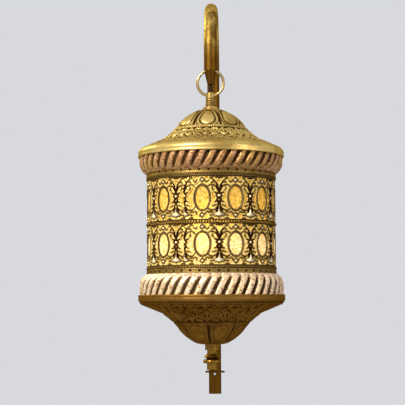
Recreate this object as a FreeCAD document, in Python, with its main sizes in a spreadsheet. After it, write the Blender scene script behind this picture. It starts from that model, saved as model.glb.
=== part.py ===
import FreeCAD, Part
import math
import os

import Sketcher

# A lantern that hangs by a ring from the tip of a crook arm. The arm turns in a socket on a wall fixing.
# Millimetres. The origin is on the wall, behind the middle of the arm socket; +Z is up and the lantern
# hangs out along -Y. Every size that can be set by itself stands once in this table.
sizes = {
    # places that the rest follows: the wall, the tube's axis, the ring's centre
    "wall_gap": 45.0,
    "back_clearance": 12.95,
    "ring_level": 142.1,
    # crook arm
    "tube_radius": 6.75,
    "tube_wall": 1.0,
    "tube_low_end": -159.2,
    "front_leg": 19.6,
    "tip_cylinder": 7.0,
    "tip_end_drop": 1.1,
    "tip_end_wall": 0.6,
    "tip_bore": 4.4,
    "spigot_depth": 8.0,
    "end_flange_radius": 10.6,
    "end_flange_thick": 1.6,
    "end_stub_length": 22.9,
    "end_spigot_depth": 12.0,
    "end_screw_radius": 0.8,
    "end_screw_head_radius": 1.3,
    "end_screw_head": 0.9,
    "end_screw_reach": 3.0,
    "bearing_radius": 9.5,
    "bearing_height": 6.0,
    "grub_radius": 1.5,
    # clearances
    "run_gap": 0.05,
    "fit_gap": 0.1,
    "clear_gap": 0.3,
    "eye_gap": 0.16,
    # hanging ring and flat two-core flex
    "ring_radius": 13.55,
    "ring_wire_radius": 1.5,
    "flex_width": 4.9,
    "flex_thick": 3.0,
    "flex_gap": 0.15,
    "flex_joint_level": 14.0,
    # wall fixing, measured out from the wall along the stem
    "bracket_sheet": 2.0,
    "bracket_width": 24.0,
    "bracket_stand": 8.0,
    "bracket_half_bridge": 22.0,
    "bracket_half_length": 46.0,
    "slot_spacing": 70.0,
    "slot_radius": 2.25,
    "slot_length": 9.0,
    "canopy_radius": 55.0,
    "canopy_depth": 16.0,
    "canopy_wall": 1.2,
    "canopy_edge": 3.0,
    "canopy_round": 12.0,
    "canopy_round_radius": 14.0,
    "stem_bore": 4.0,
    "stem_wall": 1.0,
    "stem_nut_radius": 8.0,
    "stem_nut_thick": 4.0,
    "ring_nut_radius": 10.0,
    "ring_nut_thick": 4.0,
    "socket_radius": 10.0,
    "socket_height": 36.0,
    "boss_radius": 8.0,
    "boss_reach": 13.0,
    "seat_wall": 0.6,
    "flex_slot_height": 8.0,
    "flex_slot_angle": 150.0,
    "clamp_level": 11.0,
    "clamp_screw_radius": 2.5,
    "clamp_screw_length": 8.0,
    "clamp_head_radius": 6.0,
    "clamp_head_thick": 5.0,
    "terminal_width": 18.0,
    "terminal_depth": 6.3,
    "terminal_height": 11.0,
    "terminal_screw_radius": 1.8,
    "terminal_screw_spacing": 11.0,
    "terminal_screw_height": 1.4,
    "earth_screw_level": 15.0,
    "earth_screw_radius": 2.0,
    "earth_head_radius": 3.5,
    "earth_head_thick": 2.4,
    # lantern drum
    "drum_radius": 66.0,
    "drum_sheet": 0.8,
    "upper_sheet_height": 44.4,
    "lower_sheet_height": 42.5,
    "divider_wire_radius": 1.0,
    "collar_height": 6.9,
    "collar_flare": 0.8,
    "collar_ledge": 3.2,
    "collar_ledge_thick": 1.0,
    "diffuser_wall": 2.0,
    "window_half_width": 7.5,
    "window_half_height": 13.0,
    "link_window_radius": 3.0,
    "window_count": 12,
    "window_span": 321.5,
    "window_turn": -5.9,
    # ribbed bands, and the stamping that serves as cap and as bowl
    "band_bulge": 7.9,
    "band_wall": 1.2,
    "band_rise": 12.0,
    "band_arc_radius": 13.6,
    "upper_band_show": 17.1,
    "lower_band_show": 21.2,
    "band_seat": 5.0,
    "rim_gap": 0.4,
    "rim_height": 5.0,
    "stamp_sheet": 1.0,
    "stamp_height": 50.0,
    "shoulder_inset": 6.3,
    "shoulder_height": 10.4,
    "shoulder_arc_radius": 8.0,
    "ledge_inset": 25.3,
    "ledge_height": 18.2,
    "ledge_step": 1.8,
    "waist_inset": 42.3,
    "waist_height": 35.2,
    "waist_arc_radius": 60.0,
    "crown_arc_radius": 48.0,
    "cap_crown_radius": 10.4,
    "bowl_crown_radius": 13.0,
    # lamp pipe and its fittings
    "pipe_clear": 0.65,
    "pipe_wall": 0.7,
    "pipe_head": 3.6,
    "pipe_show": 18.15,
    "pipe_low_end": 54.0,
    "groove_first": 5.9,
    "groove_pitch": 2.1,
    "groove_width": 0.9,
    "groove_depth": 0.35,
    "collar_nut_radius": 7.9,
    "collar_nut_height": 2.8,
    "washer_radius": 9.0,
    "washer_thick": 1.5,
    "locknut_radius": 8.1,
    "locknut_thick": 3.5,
    "cross_bar_width": 8.0,
    "cross_bar_thick": 1.5,
    "top_cross_inset": 5.0,
    # lamp holder and bulb
    "holder_cap_radius": 13.6,
    "holder_cap_height": 9.0,
    "holder_cap_wall": 0.8,
    "holder_over_pipe": 4.0,
    "holder_height": 30.0,
    "holder_gap": 6.0,
    "holder_bore": 7.9,
    "holder_top_wall": 5.5,
    "shell_wall": 0.4,
    "shell_height": 20.0,
    "shell_drop": 2.5,
    "contact_radius": 3.0,
    "contact_thick": 1.3,
    "bulb_cap_radius": 6.9,
    "bulb_cap_wall": 1.0,
    "bulb_cap_height": 25.8,
    "bulb_cap_taper": 3.8,
    "bulb_tip_radius": 3.0,
    "bulb_radius": 22.5,
    "bulb_glass_wall": 1.0,
    "bulb_neck_radius": 5.8,
    "bulb_neck_inside": 7.0,
    "bulb_shoulder_radius": 12.05,
    "bulb_shoulder_level": 19.0,
    "bulb_neck_level": 27.0,
    "filament_radius": 6.0,
    "filament_wire_radius": 0.3,
    "filament_rise": 10.0,
    "bulb_stem_radius": 2.2,
    "bulb_foot_thick": 1.5,
    # rod and finial that hold the bowl
    "rod_radius": 3.0,
    "rod_rise": 7.0,
    "rod_in_finial": 14.0,
    "rod_nut_radius": 5.8,
    "rod_nut_thick": 3.0,
    "bottom_cross_rise": 3.5,
    "finial_collar_radius": 7.2,
    "finial_collar_height": 5.8,
    "finial_groove": 0.8,
    "finial_neck_radius": 5.0,
    "finial_neck_drop": 9.5,
    "finial_flare_radius": 8.2,
    "finial_flare_drop": 13.4,
    "finial_waist_drop": 15.0,
    "finial_bead_radius": 9.2,
    "finial_bead_top": 15.6,
    "finial_bead_bottom": 19.4,
    "finial_bead_arc": 2.2,
    "finial_stem_radius": 5.3,
    "finial_height": 26.0,
}


class Size:
    """A length with the sheet expression that gives it, so that one sum sets both."""

    def __init__(self, value, text):
        self.value = float(value)
        self.text = text

    def __add__(self, other):
        other = size(other)
        return Size(self.value + other.value, f"({self.text} + {other.text})")

    def __sub__(self, other):
        other = size(other)
        return Size(self.value - other.value, f"({self.text} - {other.text})")

    def __mul__(self, other):
        other = size(other)
        return Size(self.value * other.value, f"({self.text} * {other.text})")

    def __truediv__(self, other):
        other = size(other)
        return Size(self.value / other.value, f"({self.text} / {other.text})")

    def __radd__(self, other):
        return size(other) + self

    def __rsub__(self, other):
        return size(other) - self

    def __rmul__(self, other):
        return size(other) * self

    def __neg__(self):
        return Size(-self.value, f"(0 - {self.text})")

    def root(self):
        return Size(math.sqrt(self.value), f"sqrt({self.text})")

    def sine(self):
        return Size(math.sin(math.radians(self.value)), f"sin({self.text})")


def size(number):
    """A plain number as a Size, and a Size as it is."""
    return number if isinstance(number, Size) else Size(number, f"{number:.6g}")


class Sheet:
    """The named sizes, each as a Size that points at its spreadsheet cell."""

    def __init__(self, doc, values):
        cells = doc.addObject("Spreadsheet::Sheet", "Sizes")
        for row, (name, value) in enumerate(values.items(), start=1):
            cells.set(f"A{row}", name)
            cells.set(f"B{row}", str(value))
            cells.setAlias(f"B{row}", name)
            setattr(self, name, Size(value, f"Sizes.{name}"))


doc = FreeCAD.newDocument("lantern")
s = Sheet(doc, sizes)
doc.recompute()
subParts = []


# ---- places worked out from the sizes, each written once ----

bandRadius = s.drum_radius + s.band_bulge
bandInside = bandRadius - s.band_wall
rimRadius = bandRadius + s.rim_gap + s.stamp_sheet
armReach = rimRadius + s.back_clearance + s.tube_radius
bendRadius = armReach / 2
tubeY = -s.wall_gap
lanternY = tubeY - armReach
ringOffset = s.ring_wire_radius + s.fit_gap
ringY = lanternY - ringOffset
flexOffset = s.flex_thick / 2 + s.flex_gap
tubeBore = s.tube_radius - s.tube_wall
drumInside = s.drum_radius - s.drum_sheet
flexHalfFlat = (s.flex_width - s.flex_thick) / 2
flexReach = (flexHalfFlat * flexHalfFlat + flexOffset * flexOffset).root() + s.flex_thick / 2
pipeBore = flexReach + s.pipe_clear
pipeRadius = pipeBore + s.pipe_wall
stemRadius = s.stem_bore + s.stem_wall

# The ring bends away from a straight hole, so an eye sits between the wire's middle and its ends.
ringSquare = s.ring_radius * s.ring_radius + ringOffset * ringOffset
armEyeChord = (ringSquare - s.tube_radius * s.tube_radius).root()
armEyeLevel = s.ring_level + (s.ring_radius + armEyeChord) / 2
armEyeRadius = s.ring_wire_radius + (s.ring_radius - armEyeChord) / 2 + s.eye_gap
pipeEyeChord = (ringSquare - pipeRadius * pipeRadius).root()
pipeEyeLevel = s.ring_level - (s.ring_radius + pipeEyeChord) / 2
pipeEyeRadius = s.ring_wire_radius + (s.ring_radius - pipeEyeChord) / 2 + s.eye_gap

tipEndLevel = s.ring_level - s.tip_end_drop
tipEndBore = s.flex_width / 2 + s.flex_gap
tipEndRadius = tipEndBore + s.tip_end_wall
tipConeLevel = s.ring_level + s.ring_radius
tipSeamLevel = tipConeLevel + s.tip_cylinder
bendLevel = tipSeamLevel + s.front_leg

pipeTop = s.ring_level - s.ring_radius + s.pipe_head
capCrownLevel = pipeTop - s.pipe_show
capRimLevel = capCrownLevel - s.stamp_height
collarTop = capRimLevel - s.upper_band_show
drumTop = collarTop - s.collar_height
dividerLevel = drumTop - s.upper_sheet_height - s.divider_wire_radius
drumBottom = dividerLevel - s.divider_wire_radius - s.lower_sheet_height
collarBottom = drumBottom - s.collar_height
bowlRimLevel = collarBottom - s.lower_band_show
bowlCrownLevel = bowlRimLevel - s.stamp_height
ledgeTop = collarBottom + s.collar_ledge_thick

bridgeFront = s.bracket_stand + s.bracket_sheet
bossBack = s.wall_gap - s.boss_reach
stemFront = s.wall_gap - s.tube_radius - s.seat_wall


# ---- ways of making pieces ----

outwards = ((1, 0, 0), 90)
sideways = ((0, 1, 0), 90)


def bind(thing, **values):
    """Tie properties of an object to sheet expressions."""
    for name, value in values.items():
        thing.setExpression(name, size(value).text)


def place(thing, x=0, y=0, z=0, turn=None):
    """Put an object at bound coordinates, turned first where turn = (axis, degrees)."""
    if turn:
        rotation = FreeCAD.Rotation(FreeCAD.Vector(*turn[0]), turn[1])
        thing.Placement = FreeCAD.Placement(FreeCAD.Vector(), rotation)
    for axis, value in (("x", x), ("y", y), ("z", z)):
        thing.setExpression(f"Placement.Base.{axis}", size(value).text)
    return thing


def keep(thing, label):
    """Give a finished sub-part its own label, which names its file."""
    thing.Label = label
    subParts.append(thing)
    return thing


def planeOf(body, role):
    return next(plane for plane in body.Origin.OriginFeatures if plane.Role == role)


def sketchOn(body, role):
    sketch = body.newObject("Sketcher::SketchObject", "Outline")
    sketch.AttachmentSupport = [(planeOf(body, role), "")]
    sketch.MapMode = "FlatFace"
    return sketch


def pin(sketch, geometry, point, across, up):
    """Fix one point of a sketch at two bound coordinates."""
    for kind, value in (("DistanceX", across), ("DistanceY", up)):
        value = size(value)
        index = sketch.addConstraint(Sketcher.Constraint(kind, -1, 1, geometry, point, value.value))
        sketch.setExpression(f"Constraints[{index}]", value.text)


def arcBetween(start, end, radius):
    """An arc from start to end; a positive radius bulges to the right of the way from start to end."""
    chord = end.sub(start)
    middle = (start + end) * 0.5
    reach = math.sqrt(radius * radius - chord.Length * chord.Length / 4)
    left = FreeCAD.Vector(-chord.y, chord.x, 0).normalize()
    centre = middle + left * reach if radius > 0 else middle - left * reach
    circle = Part.Circle(centre, FreeCAD.Vector(0, 0, 1), abs(radius))
    first, last = (start, end) if radius > 0 else (end, start)
    angles = [math.atan2(point.y - centre.y, point.x - centre.x) for point in (first, last)]
    return Part.ArcOfCircle(circle, angles[0], angles[1])


def outlineSketch(body, role, outline):
    """A closed outline of points (across, up); a third entry makes the edge that leaves a point an arc."""
    sketch = sketchOn(body, role)
    points = [FreeCAD.Vector(size(entry[0]).value, size(entry[1]).value, 0) for entry in outline]
    ends = []
    for index, entry in enumerate(outline):
        start, end = points[index], points[(index + 1) % len(points)]
        if len(entry) == 2:
            sketch.addGeometry(Part.LineSegment(start, end), False)
            ends.append((1, 2))
        else:
            radius = size(entry[2])
            sketch.addGeometry(arcBetween(start, end, radius.value), False)
            ends.append((1, 2) if radius.value > 0 else (2, 1))
    for index, entry in enumerate(outline):
        before = index - 1 if index else len(outline) - 1
        joined = Sketcher.Constraint("Coincident", before, ends[before][1], index, ends[index][0])
        sketch.addConstraint(joined)
        pin(sketch, index, ends[index][0], entry[0], entry[1])
        if len(entry) == 3:
            radius = size(entry[2])
            bound = radius if radius.value > 0 else -radius
            number = sketch.addConstraint(Sketcher.Constraint("Radius", index, bound.value))
            sketch.setExpression(f"Constraints[{number}]", bound.text)
    return sketch


def turnedBody(label, outline):
    """A body turned about its own Z axis from an outline of (radius, height) points."""
    body = doc.addObject("PartDesign::Body", label)
    sketch = outlineSketch(body, "XZ_Plane", outline)
    turning = body.newObject("PartDesign::Revolution", "Turning")
    turning.Profile = sketch
    turning.ReferenceAxis = (sketch, ["V_Axis"])
    turning.Angle = 360
    return body


def turned(label, outline, outward=False, **where):
    """A turned sub-part, upright, or with its axis pointing out from the wall."""
    body = turnedBody(label, outline)
    place(body, turn=outwards if outward else None, **where)
    return keep(body, label)


def tubeOutline(inner, outer, low, high):
    return [(inner, low), (outer, low), (outer, high), (inner, high)]


def rodOutline(radius, low, high):
    return tubeOutline(0, radius, low, high)


def cylinder(name, radius, height, **where):
    thing = doc.addObject("Part::Cylinder", name)
    bind(thing, Radius=radius, Height=height)
    return place(thing, **where)


def box(name, width, depth, height, x, y, z):
    """A box given by its size and its lowest corner."""
    thing = doc.addObject("Part::Box", name)
    bind(thing, Length=width, Width=depth, Height=height)
    return place(thing, x=x, y=y, z=z)


def hexagon(name, radius, height, **where):
    thing = doc.addObject("Part::Prism", name)
    thing.Polygon = 6
    bind(thing, Circumradius=radius, Height=height)
    return place(thing, **where)


def cut(name, base, tool):
    thing = doc.addObject("Part::Cut", name)
    thing.Base, thing.Tool = base, tool
    return thing


def fuse(name, *pieces):
    thing = doc.addObject("Part::MultiFuse", name)
    thing.Shapes = list(pieces)
    return thing


def group(name, *pieces):
    """Solids that stay separate but share one node, as like fasteners do."""
    thing = doc.addObject("Part::Compound", name)
    thing.Links = list(pieces)
    return thing


def pocketAlong(body, sketch, length, reversedWay=False):
    pocket = body.newObject("PartDesign::Pocket", "Pocket")
    pocket.Profile = sketch
    pocket.Type = "Length"
    pocket.Reversed = reversedWay
    bind(pocket, Length=length)
    return pocket


def roundHole(body, role, across, up, radius, length, reversedWay=False, midplane=False):
    """A round hole through one wall, or through both where midplane is set."""
    sketch = sketchOn(body, role)
    centre = FreeCAD.Vector(size(across).value, size(up).value, 0)
    sketch.addGeometry(Part.Circle(centre, FreeCAD.Vector(0, 0, 1), size(radius).value), False)
    pin(sketch, 0, 3, across, up)
    index = sketch.addConstraint(Sketcher.Constraint("Radius", 0, size(radius).value))
    sketch.setExpression(f"Constraints[{index}]", size(radius).text)
    pocket = pocketAlong(body, sketch, length, reversedWay)
    pocket.Midplane = midplane
    return pocket


def patterned(body, features, count, angle):
    """Repeat features round the body's Z axis."""
    pattern = body.newObject("PartDesign::PolarPattern", "Pattern")
    pattern.Originals = features
    pattern.Axis = (planeOf(body, "Z_Axis"), [""])
    if isinstance(angle, Size):
        bind(pattern, Angle=angle)
    else:
        pattern.Angle = angle
    bind(pattern, Occurrences=count)
    body.Tip = pattern
    return pattern


def roundedPath(points):
    """Straight runs joined by tangent arcs as large as the two runs allow."""
    edges = []
    start = points[0]
    for before, corner, after in zip(points, points[1:], points[2:]):
        back, onward = before - corner, after - corner
        trim = 0.45 * min(back.Length, onward.Length)
        radius = trim / math.tan((math.pi - back.getAngle(onward)) / 2)
        first = corner + back.normalize() * trim
        last = corner + onward.normalize() * trim
        inside = (first + last) * 0.5 - corner
        centre = corner + inside.normalize() * math.hypot(radius, trim)
        middle = centre + (corner - centre).normalize() * radius
        edges.append(Part.LineSegment(start, first).toShape())
        edges.append(Part.Arc(first, middle, last).toShape())
        start = last
    edges.append(Part.LineSegment(start, points[-1]).toShape())
    return edges


def flexSection(centre, thick):
    """Rounded-end section of the flat flex, wide along X and thick along the given direction."""
    half = flexHalfFlat.value
    radius = s.flex_thick.value / 2
    across = FreeCAD.Vector(1, 0, 0)
    corners = [centre + across * (half * side) + thick * (radius * lift)
               for side, lift in ((-1, -1), (1, -1), (1, 1), (-1, 1))]
    ends = [centre + across * ((half + radius) * side) for side in (1, -1)]
    return Part.Wire([
        Part.LineSegment(corners[0], corners[1]).toShape(),
        Part.Arc(corners[1], ends[0], corners[2]).toShape(),
        Part.LineSegment(corners[2], corners[3]).toShape(),
        Part.Arc(corners[3], ends[1], corners[0]).toShape(),
    ])


def flexAlong(label, edges):
    """Flat two-core flex swept along edges in the YZ plane, from an upright start."""
    section = flexSection(edges[0].Vertexes[0].Point, FreeCAD.Vector(0, 1, 0))
    path = Part.Wire(edges)
    thing = doc.addObject("Part::Feature", label)
    thing.Shape = path.makePipeShell([section], True, False)
    expected = Part.Face(section).Area * path.Length
    print(f"{label}: volume {thing.Shape.Volume:.1f}, section by length {expected:.1f}")
    return keep(thing, label)


def yz(y, z):
    """A point in the plane x = 0, from bound sizes or plain numbers."""
    return FreeCAD.Vector(0, size(y).value, size(z).value)


# ---- wall fixing ----

def makeBracket():
    """A hat-shaped strap: two feet on the wall, and a bridge that stands off it to carry the stem."""
    hat = doc.addObject("PartDesign::Body", "Hat")
    bridge, foot, sheet = s.bracket_half_bridge, s.bracket_half_length, s.bracket_sheet
    sketch = outlineSketch(hat, "YZ_Plane", [
        (0, -foot), (0, -bridge), (-s.bracket_stand, -bridge), (-s.bracket_stand, bridge),
        (0, bridge), (0, foot), (-sheet, foot), (-sheet, bridge + sheet), (-bridgeFront, bridge + sheet),
        (-bridgeFront, -(bridge + sheet)), (-sheet, -(bridge + sheet)), (-sheet, -foot),
    ])
    strip = hat.newObject("PartDesign::Pad", "Strip")
    strip.Profile = sketch
    strip.Midplane = True
    bind(strip, Length=s.bracket_width)
    cutters = [
        cylinder("StemHole", stemRadius + s.fit_gap, bridgeFront * 2, turn=outwards),
        cylinder("EarthHole", s.earth_screw_radius + s.fit_gap, bridgeFront * 2, z=s.earth_screw_level,
                 turn=outwards),
    ]
    straight = s.slot_length - s.slot_radius * 2
    for name, side in (("Upper", 1), ("Lower", -1)):
        middle = s.slot_spacing / 2 * side
        for end in (1, -1):
            cutters.append(cylinder(f"{name}SlotEnd", s.slot_radius, sheet * 4, y=sheet,
                                    z=middle + straight / 2 * end, turn=outwards))
        cutters.append(box(f"{name}Slot", s.slot_radius * 2, sheet * 4, straight,
                           x=-s.slot_radius, y=-sheet * 2, z=middle - straight / 2))
    keep(cut("Bracket", hat, fuse("BracketHoles", *cutters)), "wall_bracket")


def makeCanopy():
    """A shallow dish over the bracket, free to slide out along the stem once its ring nut is off."""
    edge, deep, wall = s.canopy_radius, s.canopy_depth, s.canopy_wall
    flat = edge - s.canopy_round
    hole = stemRadius + s.clear_gap
    turned("wall_canopy", [
        (edge - wall, 0), (edge, 0), (edge, s.canopy_edge, s.canopy_round_radius), (flat, deep),
        (hole, deep), (hole, deep - wall), (flat, deep - wall, wall - s.canopy_round_radius),
        (edge - wall, s.canopy_edge),
    ], outward=True)
    nutBore, nutFront = stemRadius + s.run_gap, deep + s.ring_nut_thick
    turned("canopy_ring_nut", tubeOutline(nutBore, s.ring_nut_radius, deep, nutFront), outward=True)


def makeStem():
    turned("stem_pipe", tubeOutline(s.stem_bore, stemRadius, s.bracket_stand, stemFront), outward=True)
    nut = hexagon("StemNutBlank", s.stem_nut_radius, s.stem_nut_thick, y=-bridgeFront, turn=outwards)
    bore = cylinder("StemNutBore", stemRadius + s.fit_gap, s.stem_nut_thick * 3, y=-s.bracket_stand,
                    turn=outwards)
    keep(cut("StemNut", nut, bore), "stem_lock_nut")


def makeTerminals():
    """Terminal block under the bridge, with its screws, and the earth screw in the bridge."""
    top = -s.stem_bore - s.terminal_screw_height - s.flex_thick
    low = top - s.terminal_height
    keep(box("Block", s.terminal_width, s.terminal_depth, s.terminal_height,
             x=-s.terminal_width / 2, y=-s.bracket_stand, z=low), "terminal_block")
    middle = s.terminal_depth / 2 - s.bracket_stand
    screws = [cylinder("TerminalScrew", s.terminal_screw_radius, s.terminal_screw_height,
                       x=s.terminal_screw_spacing / 2 * side, y=middle, z=top) for side in (-1, 1)]
    keep(group("TerminalScrewPair", *screws), "terminal_screws")
    shank, head = s.earth_screw_radius, s.earth_head_radius
    turned("earth_screw", [
        (0, s.bracket_stand), (shank, s.bracket_stand), (shank, bridgeFront), (head, bridgeFront),
        (head, bridgeFront + s.earth_head_thick), (0, bridgeFront + s.earth_head_thick),
    ], outward=True, z=s.earth_screw_level)
    return top, middle


def makeSocket():
    """Sleeve that the arm turns in, with a boss for the stem and a tapped hole for the clamp screw."""
    half = s.socket_height / 2
    sleeve = cylinder("Sleeve", s.socket_radius, s.socket_height, y=tubeY, z=-half)
    boss = cylinder("Boss", s.boss_radius, s.boss_reach, y=-bossBack, turn=outwards)
    holes = [
        cylinder("TubeBore", s.tube_radius + s.run_gap, s.socket_height * 2, y=tubeY, z=-s.socket_height),
        cylinder("StemSeat", stemRadius + s.fit_gap, stemFront + s.fit_gap, turn=outwards),
        cylinder("FlexWay", s.stem_bore, s.boss_reach, y=-bossBack, turn=outwards),
        cylinder("ClampHole", s.clamp_screw_radius + s.run_gap, s.socket_radius * 2, y=tubeY,
                 z=s.clamp_level, turn=sideways),
    ]
    keep(cut("Socket", fuse("SleeveAndBoss", sleeve, boss), fuse("SocketHoles", *holes)), "arm_socket")

    screw = turnedBody("clamp_screw", [
        (0, 0), (s.clamp_screw_radius, 0), (s.clamp_screw_radius, s.clamp_screw_length),
        (s.clamp_head_radius, s.clamp_screw_length),
        (s.clamp_head_radius, s.clamp_screw_length + s.clamp_head_thick),
        (0, s.clamp_screw_length + s.clamp_head_thick),
    ])
    place(screw, x=s.tube_radius + s.run_gap, y=tubeY, z=s.clamp_level, turn=sideways)
    keep(screw, "clamp_screw")


# ---- crook arm ----

def makeArmTube():
    """The tube rises behind the lantern, turns over in a half circle and comes down to its tip."""
    body = doc.addObject("PartDesign::Body", "arm_tube")
    section = sketchOn(body, "XY_Plane")
    section.setExpression("AttachmentOffset.Base.z", s.tube_low_end.text)
    upright = FreeCAD.Vector(0, 0, 1)
    for radius in (s.tube_radius, tubeBore):
        index = section.addGeometry(Part.Circle(FreeCAD.Vector(), upright, radius.value), False)
        section.addConstraint(Sketcher.Constraint("Coincident", index, 3, -1, 1))
        number = section.addConstraint(Sketcher.Constraint("Radius", index, radius.value))
        section.setExpression(f"Constraints[{number}]", radius.text)
    route = sketchOn(body, "YZ_Plane")
    low, foot = yz(s.tube_low_end, 0).y, size(bendLevel).value
    reach = armReach.value
    back = [FreeCAD.Vector(0, low, 0), FreeCAD.Vector(0, foot, 0)]
    front = [FreeCAD.Vector(-reach, foot, 0), FreeCAD.Vector(-reach, tipSeamLevel.value, 0)]
    route.addGeometry(Part.LineSegment(*back), False)
    turnOver = Part.Circle(FreeCAD.Vector(-reach / 2, foot, 0), upright, reach / 2)
    route.addGeometry(Part.ArcOfCircle(turnOver, 0, math.pi), False)
    route.addGeometry(Part.LineSegment(*front), False)
    pin(route, 0, 1, 0, s.tube_low_end)
    pin(route, 0, 2, 0, bendLevel)
    route.addConstraint(Sketcher.Constraint("Coincident", 0, 2, 1, 1))
    pin(route, 1, 3, -bendRadius, bendLevel)
    route.addConstraint(Sketcher.Constraint("Coincident", 1, 2, 2, 1))
    level = route.addConstraint(Sketcher.Constraint("DistanceY", -1, 1, 1, 2, foot))
    route.setExpression(f"Constraints[{level}]", bendLevel.text)
    pin(route, 2, 2, -armReach, tipSeamLevel)
    sweep = body.newObject("PartDesign::AdditivePipe", "Sweep")
    sweep.Profile = section
    sweep.Spine = (route, ["Edge1", "Edge2", "Edge3"])
    doc.recompute()

    half = s.flex_slot_height / 2
    window = outlineSketch(body, "YZ_Plane", [
        (tubeBore - s.tube_wall, -half), (s.tube_radius + s.tube_wall, -half),
        (s.tube_radius + s.tube_wall, half), (tubeBore - s.tube_wall, half),
    ])
    slot = body.newObject("PartDesign::Groove", "FlexSlot")
    slot.Profile = window
    slot.ReferenceAxis = (window, ["V_Axis"])
    slot.Midplane = True
    bind(slot, Angle=s.flex_slot_angle)
    keep(place(body, y=tubeY), "arm_tube")


def makeArmTip():
    """Turned tip plugged into the tube: a cross eye for the ring and a tapered mouth for the flex."""
    spigot = tubeBore - s.fit_gap
    top = tipSeamLevel + s.spigot_depth
    body = turned("arm_tip", [
        (tipEndBore, tipEndLevel), (tipEndRadius, tipEndLevel), (s.tube_radius, tipConeLevel),
        (s.tube_radius, tipSeamLevel), (spigot, tipSeamLevel), (spigot, top), (s.tip_bore, top),
        (s.tip_bore, tipConeLevel + s.run_gap), (tipEndBore, tipEndLevel + s.tip_end_drop),
    ], y=lanternY)
    roundHole(body, "YZ_Plane", -ringOffset, armEyeLevel, armEyeRadius, s.tube_radius * 3, midplane=True)


def makeArmEnd():
    """Flanged plug in the low end of the tube, held by a small screw from the front."""
    low = s.tube_low_end
    spigot = tubeBore - s.fit_gap
    flangeLow = low - s.end_flange_thick
    body = turned("arm_end_fitting", [
        (0, flangeLow - s.end_stub_length), (s.tube_radius, flangeLow - s.end_stub_length),
        (s.tube_radius, flangeLow), (s.end_flange_radius, flangeLow), (s.end_flange_radius, low),
        (spigot, low), (spigot, low + s.end_spigot_depth), (0, low + s.end_spigot_depth),
    ], y=tubeY)
    level = flangeLow - s.end_screw_head_radius
    hole = s.end_screw_radius + s.fit_gap
    roundHole(body, "XZ_Plane", 0, level, hole, s.tube_radius * 2, reversedWay=True)
    face = s.tube_radius
    shank, head = s.end_screw_radius, s.end_screw_head_radius
    turned("arm_end_screw", [
        (0, face - s.end_screw_reach), (shank, face - s.end_screw_reach), (shank, face), (head, face),
        (head, face + s.end_screw_head), (0, face + s.end_screw_head),
    ], outward=True, y=tubeY, z=level)


def makeBearing():
    """Ring locked on the tube that rests on the socket and carries the arm's weight."""
    low = s.socket_height / 2 + s.run_gap
    middle = low + s.bearing_height / 2
    inner = s.tube_radius + s.fit_gap
    ring = turnedBody("BearingRing", tubeOutline(inner, s.bearing_radius, low, low + s.bearing_height))
    place(ring, y=tubeY)
    hole = cylinder("GrubHole", s.grub_radius + s.fit_gap, s.bearing_radius * 2, x=-s.bearing_radius * 2,
                    y=tubeY, z=middle, turn=sideways)
    keep(cut("Bearing", ring, hole), "arm_bearing_ring")
    grub = cylinder("Grub", s.grub_radius, s.bearing_radius - inner, x=-s.bearing_radius, y=tubeY, z=middle,
                    turn=sideways)
    keep(grub, "bearing_grub_screw")


def makeFlexes(blockTop, blockMiddle):
    """One flat flex in four stretches: stem, arm, the short open piece at the ring, and the lantern."""
    inArm = tubeY - flexOffset
    flexAlong("flex_in_stem", roundedPath([
        yz(blockMiddle, blockTop), yz(blockMiddle, 0), yz(inArm, 0), yz(inArm, s.flex_joint_level),
    ]))

    behindRing = lanternY + flexOffset
    middle = (inArm + behindRing) / 2
    reach = (inArm - behindRing) / 2
    crook = [
        Part.LineSegment(yz(inArm, s.flex_joint_level), yz(inArm, bendLevel)).toShape(),
        Part.Arc(yz(inArm, bendLevel), yz(middle, bendLevel + reach),
                 yz(behindRing, bendLevel)).toShape(),
    ]
    flexAlong("flex_in_arm", crook + roundedPath([
        yz(behindRing, bendLevel), yz(behindRing, armEyeLevel - s.ring_wire_radius),
        yz(lanternY, tipEndLevel + s.flex_thick), yz(lanternY, tipEndLevel),
    ]))

    across = FreeCAD.Vector(0, 1, 0)
    link = doc.addObject("Part::Feature", "flex_at_ring")
    link.Shape = Part.makeLoft([flexSection(yz(lanternY, tipEndLevel), across),
                                flexSection(yz(behindRing, pipeTop), across)], True)
    keep(link, "flex_at_ring")
    flexAlong("flex_in_lantern", [
        Part.LineSegment(yz(behindRing, pipeTop), yz(behindRing, s.pipe_low_end)).toShape(),
    ])


def makeRing():
    ring = doc.addObject("Part::Torus", "Ring")
    bind(ring, Radius1=s.ring_radius, Radius2=s.ring_wire_radius)
    keep(place(ring, y=ringY, z=s.ring_level, turn=outwards), "hanging_ring")


# ---- lantern drum ----

def stampOutline(rim, way, crown, hole):
    """The stamped bell from rim to crown, upwards (way 1) for the cap, downwards (way -1) for the bowl."""
    sheet = s.stamp_sheet
    shoulder = rimRadius - s.shoulder_inset
    ledge = rimRadius - s.ledge_inset
    waist = rimRadius - s.waist_inset
    step = s.ledge_step
    outer = [
        (rimRadius, 0), (rimRadius, s.rim_height, s.shoulder_arc_radius), (shoulder, s.shoulder_height),
        (ledge, s.ledge_height), (ledge - step, s.ledge_height + step, -s.waist_arc_radius),
        (waist, s.waist_height, s.crown_arc_radius), (crown, s.stamp_height), (hole, s.stamp_height),
    ]
    innerWaist = s.waist_arc_radius + sheet
    inner = [
        (hole, s.stamp_height - sheet), (crown, s.stamp_height - sheet, sheet - s.crown_arc_radius),
        (waist - sheet / 2, s.waist_height - sheet, innerWaist),
        (ledge - step - sheet / 2, s.ledge_height + step - sheet),
        (ledge - sheet / 2, s.ledge_height - sheet),
        (shoulder - sheet / 2, s.shoulder_height - sheet, sheet - s.shoulder_arc_radius),
        (rimRadius - sheet, s.rim_height), (rimRadius - sheet, 0),
    ]
    return [(entry[0], rim + entry[1] * way, *(arc * way for arc in entry[2:])) for entry in outer + inner]


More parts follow.
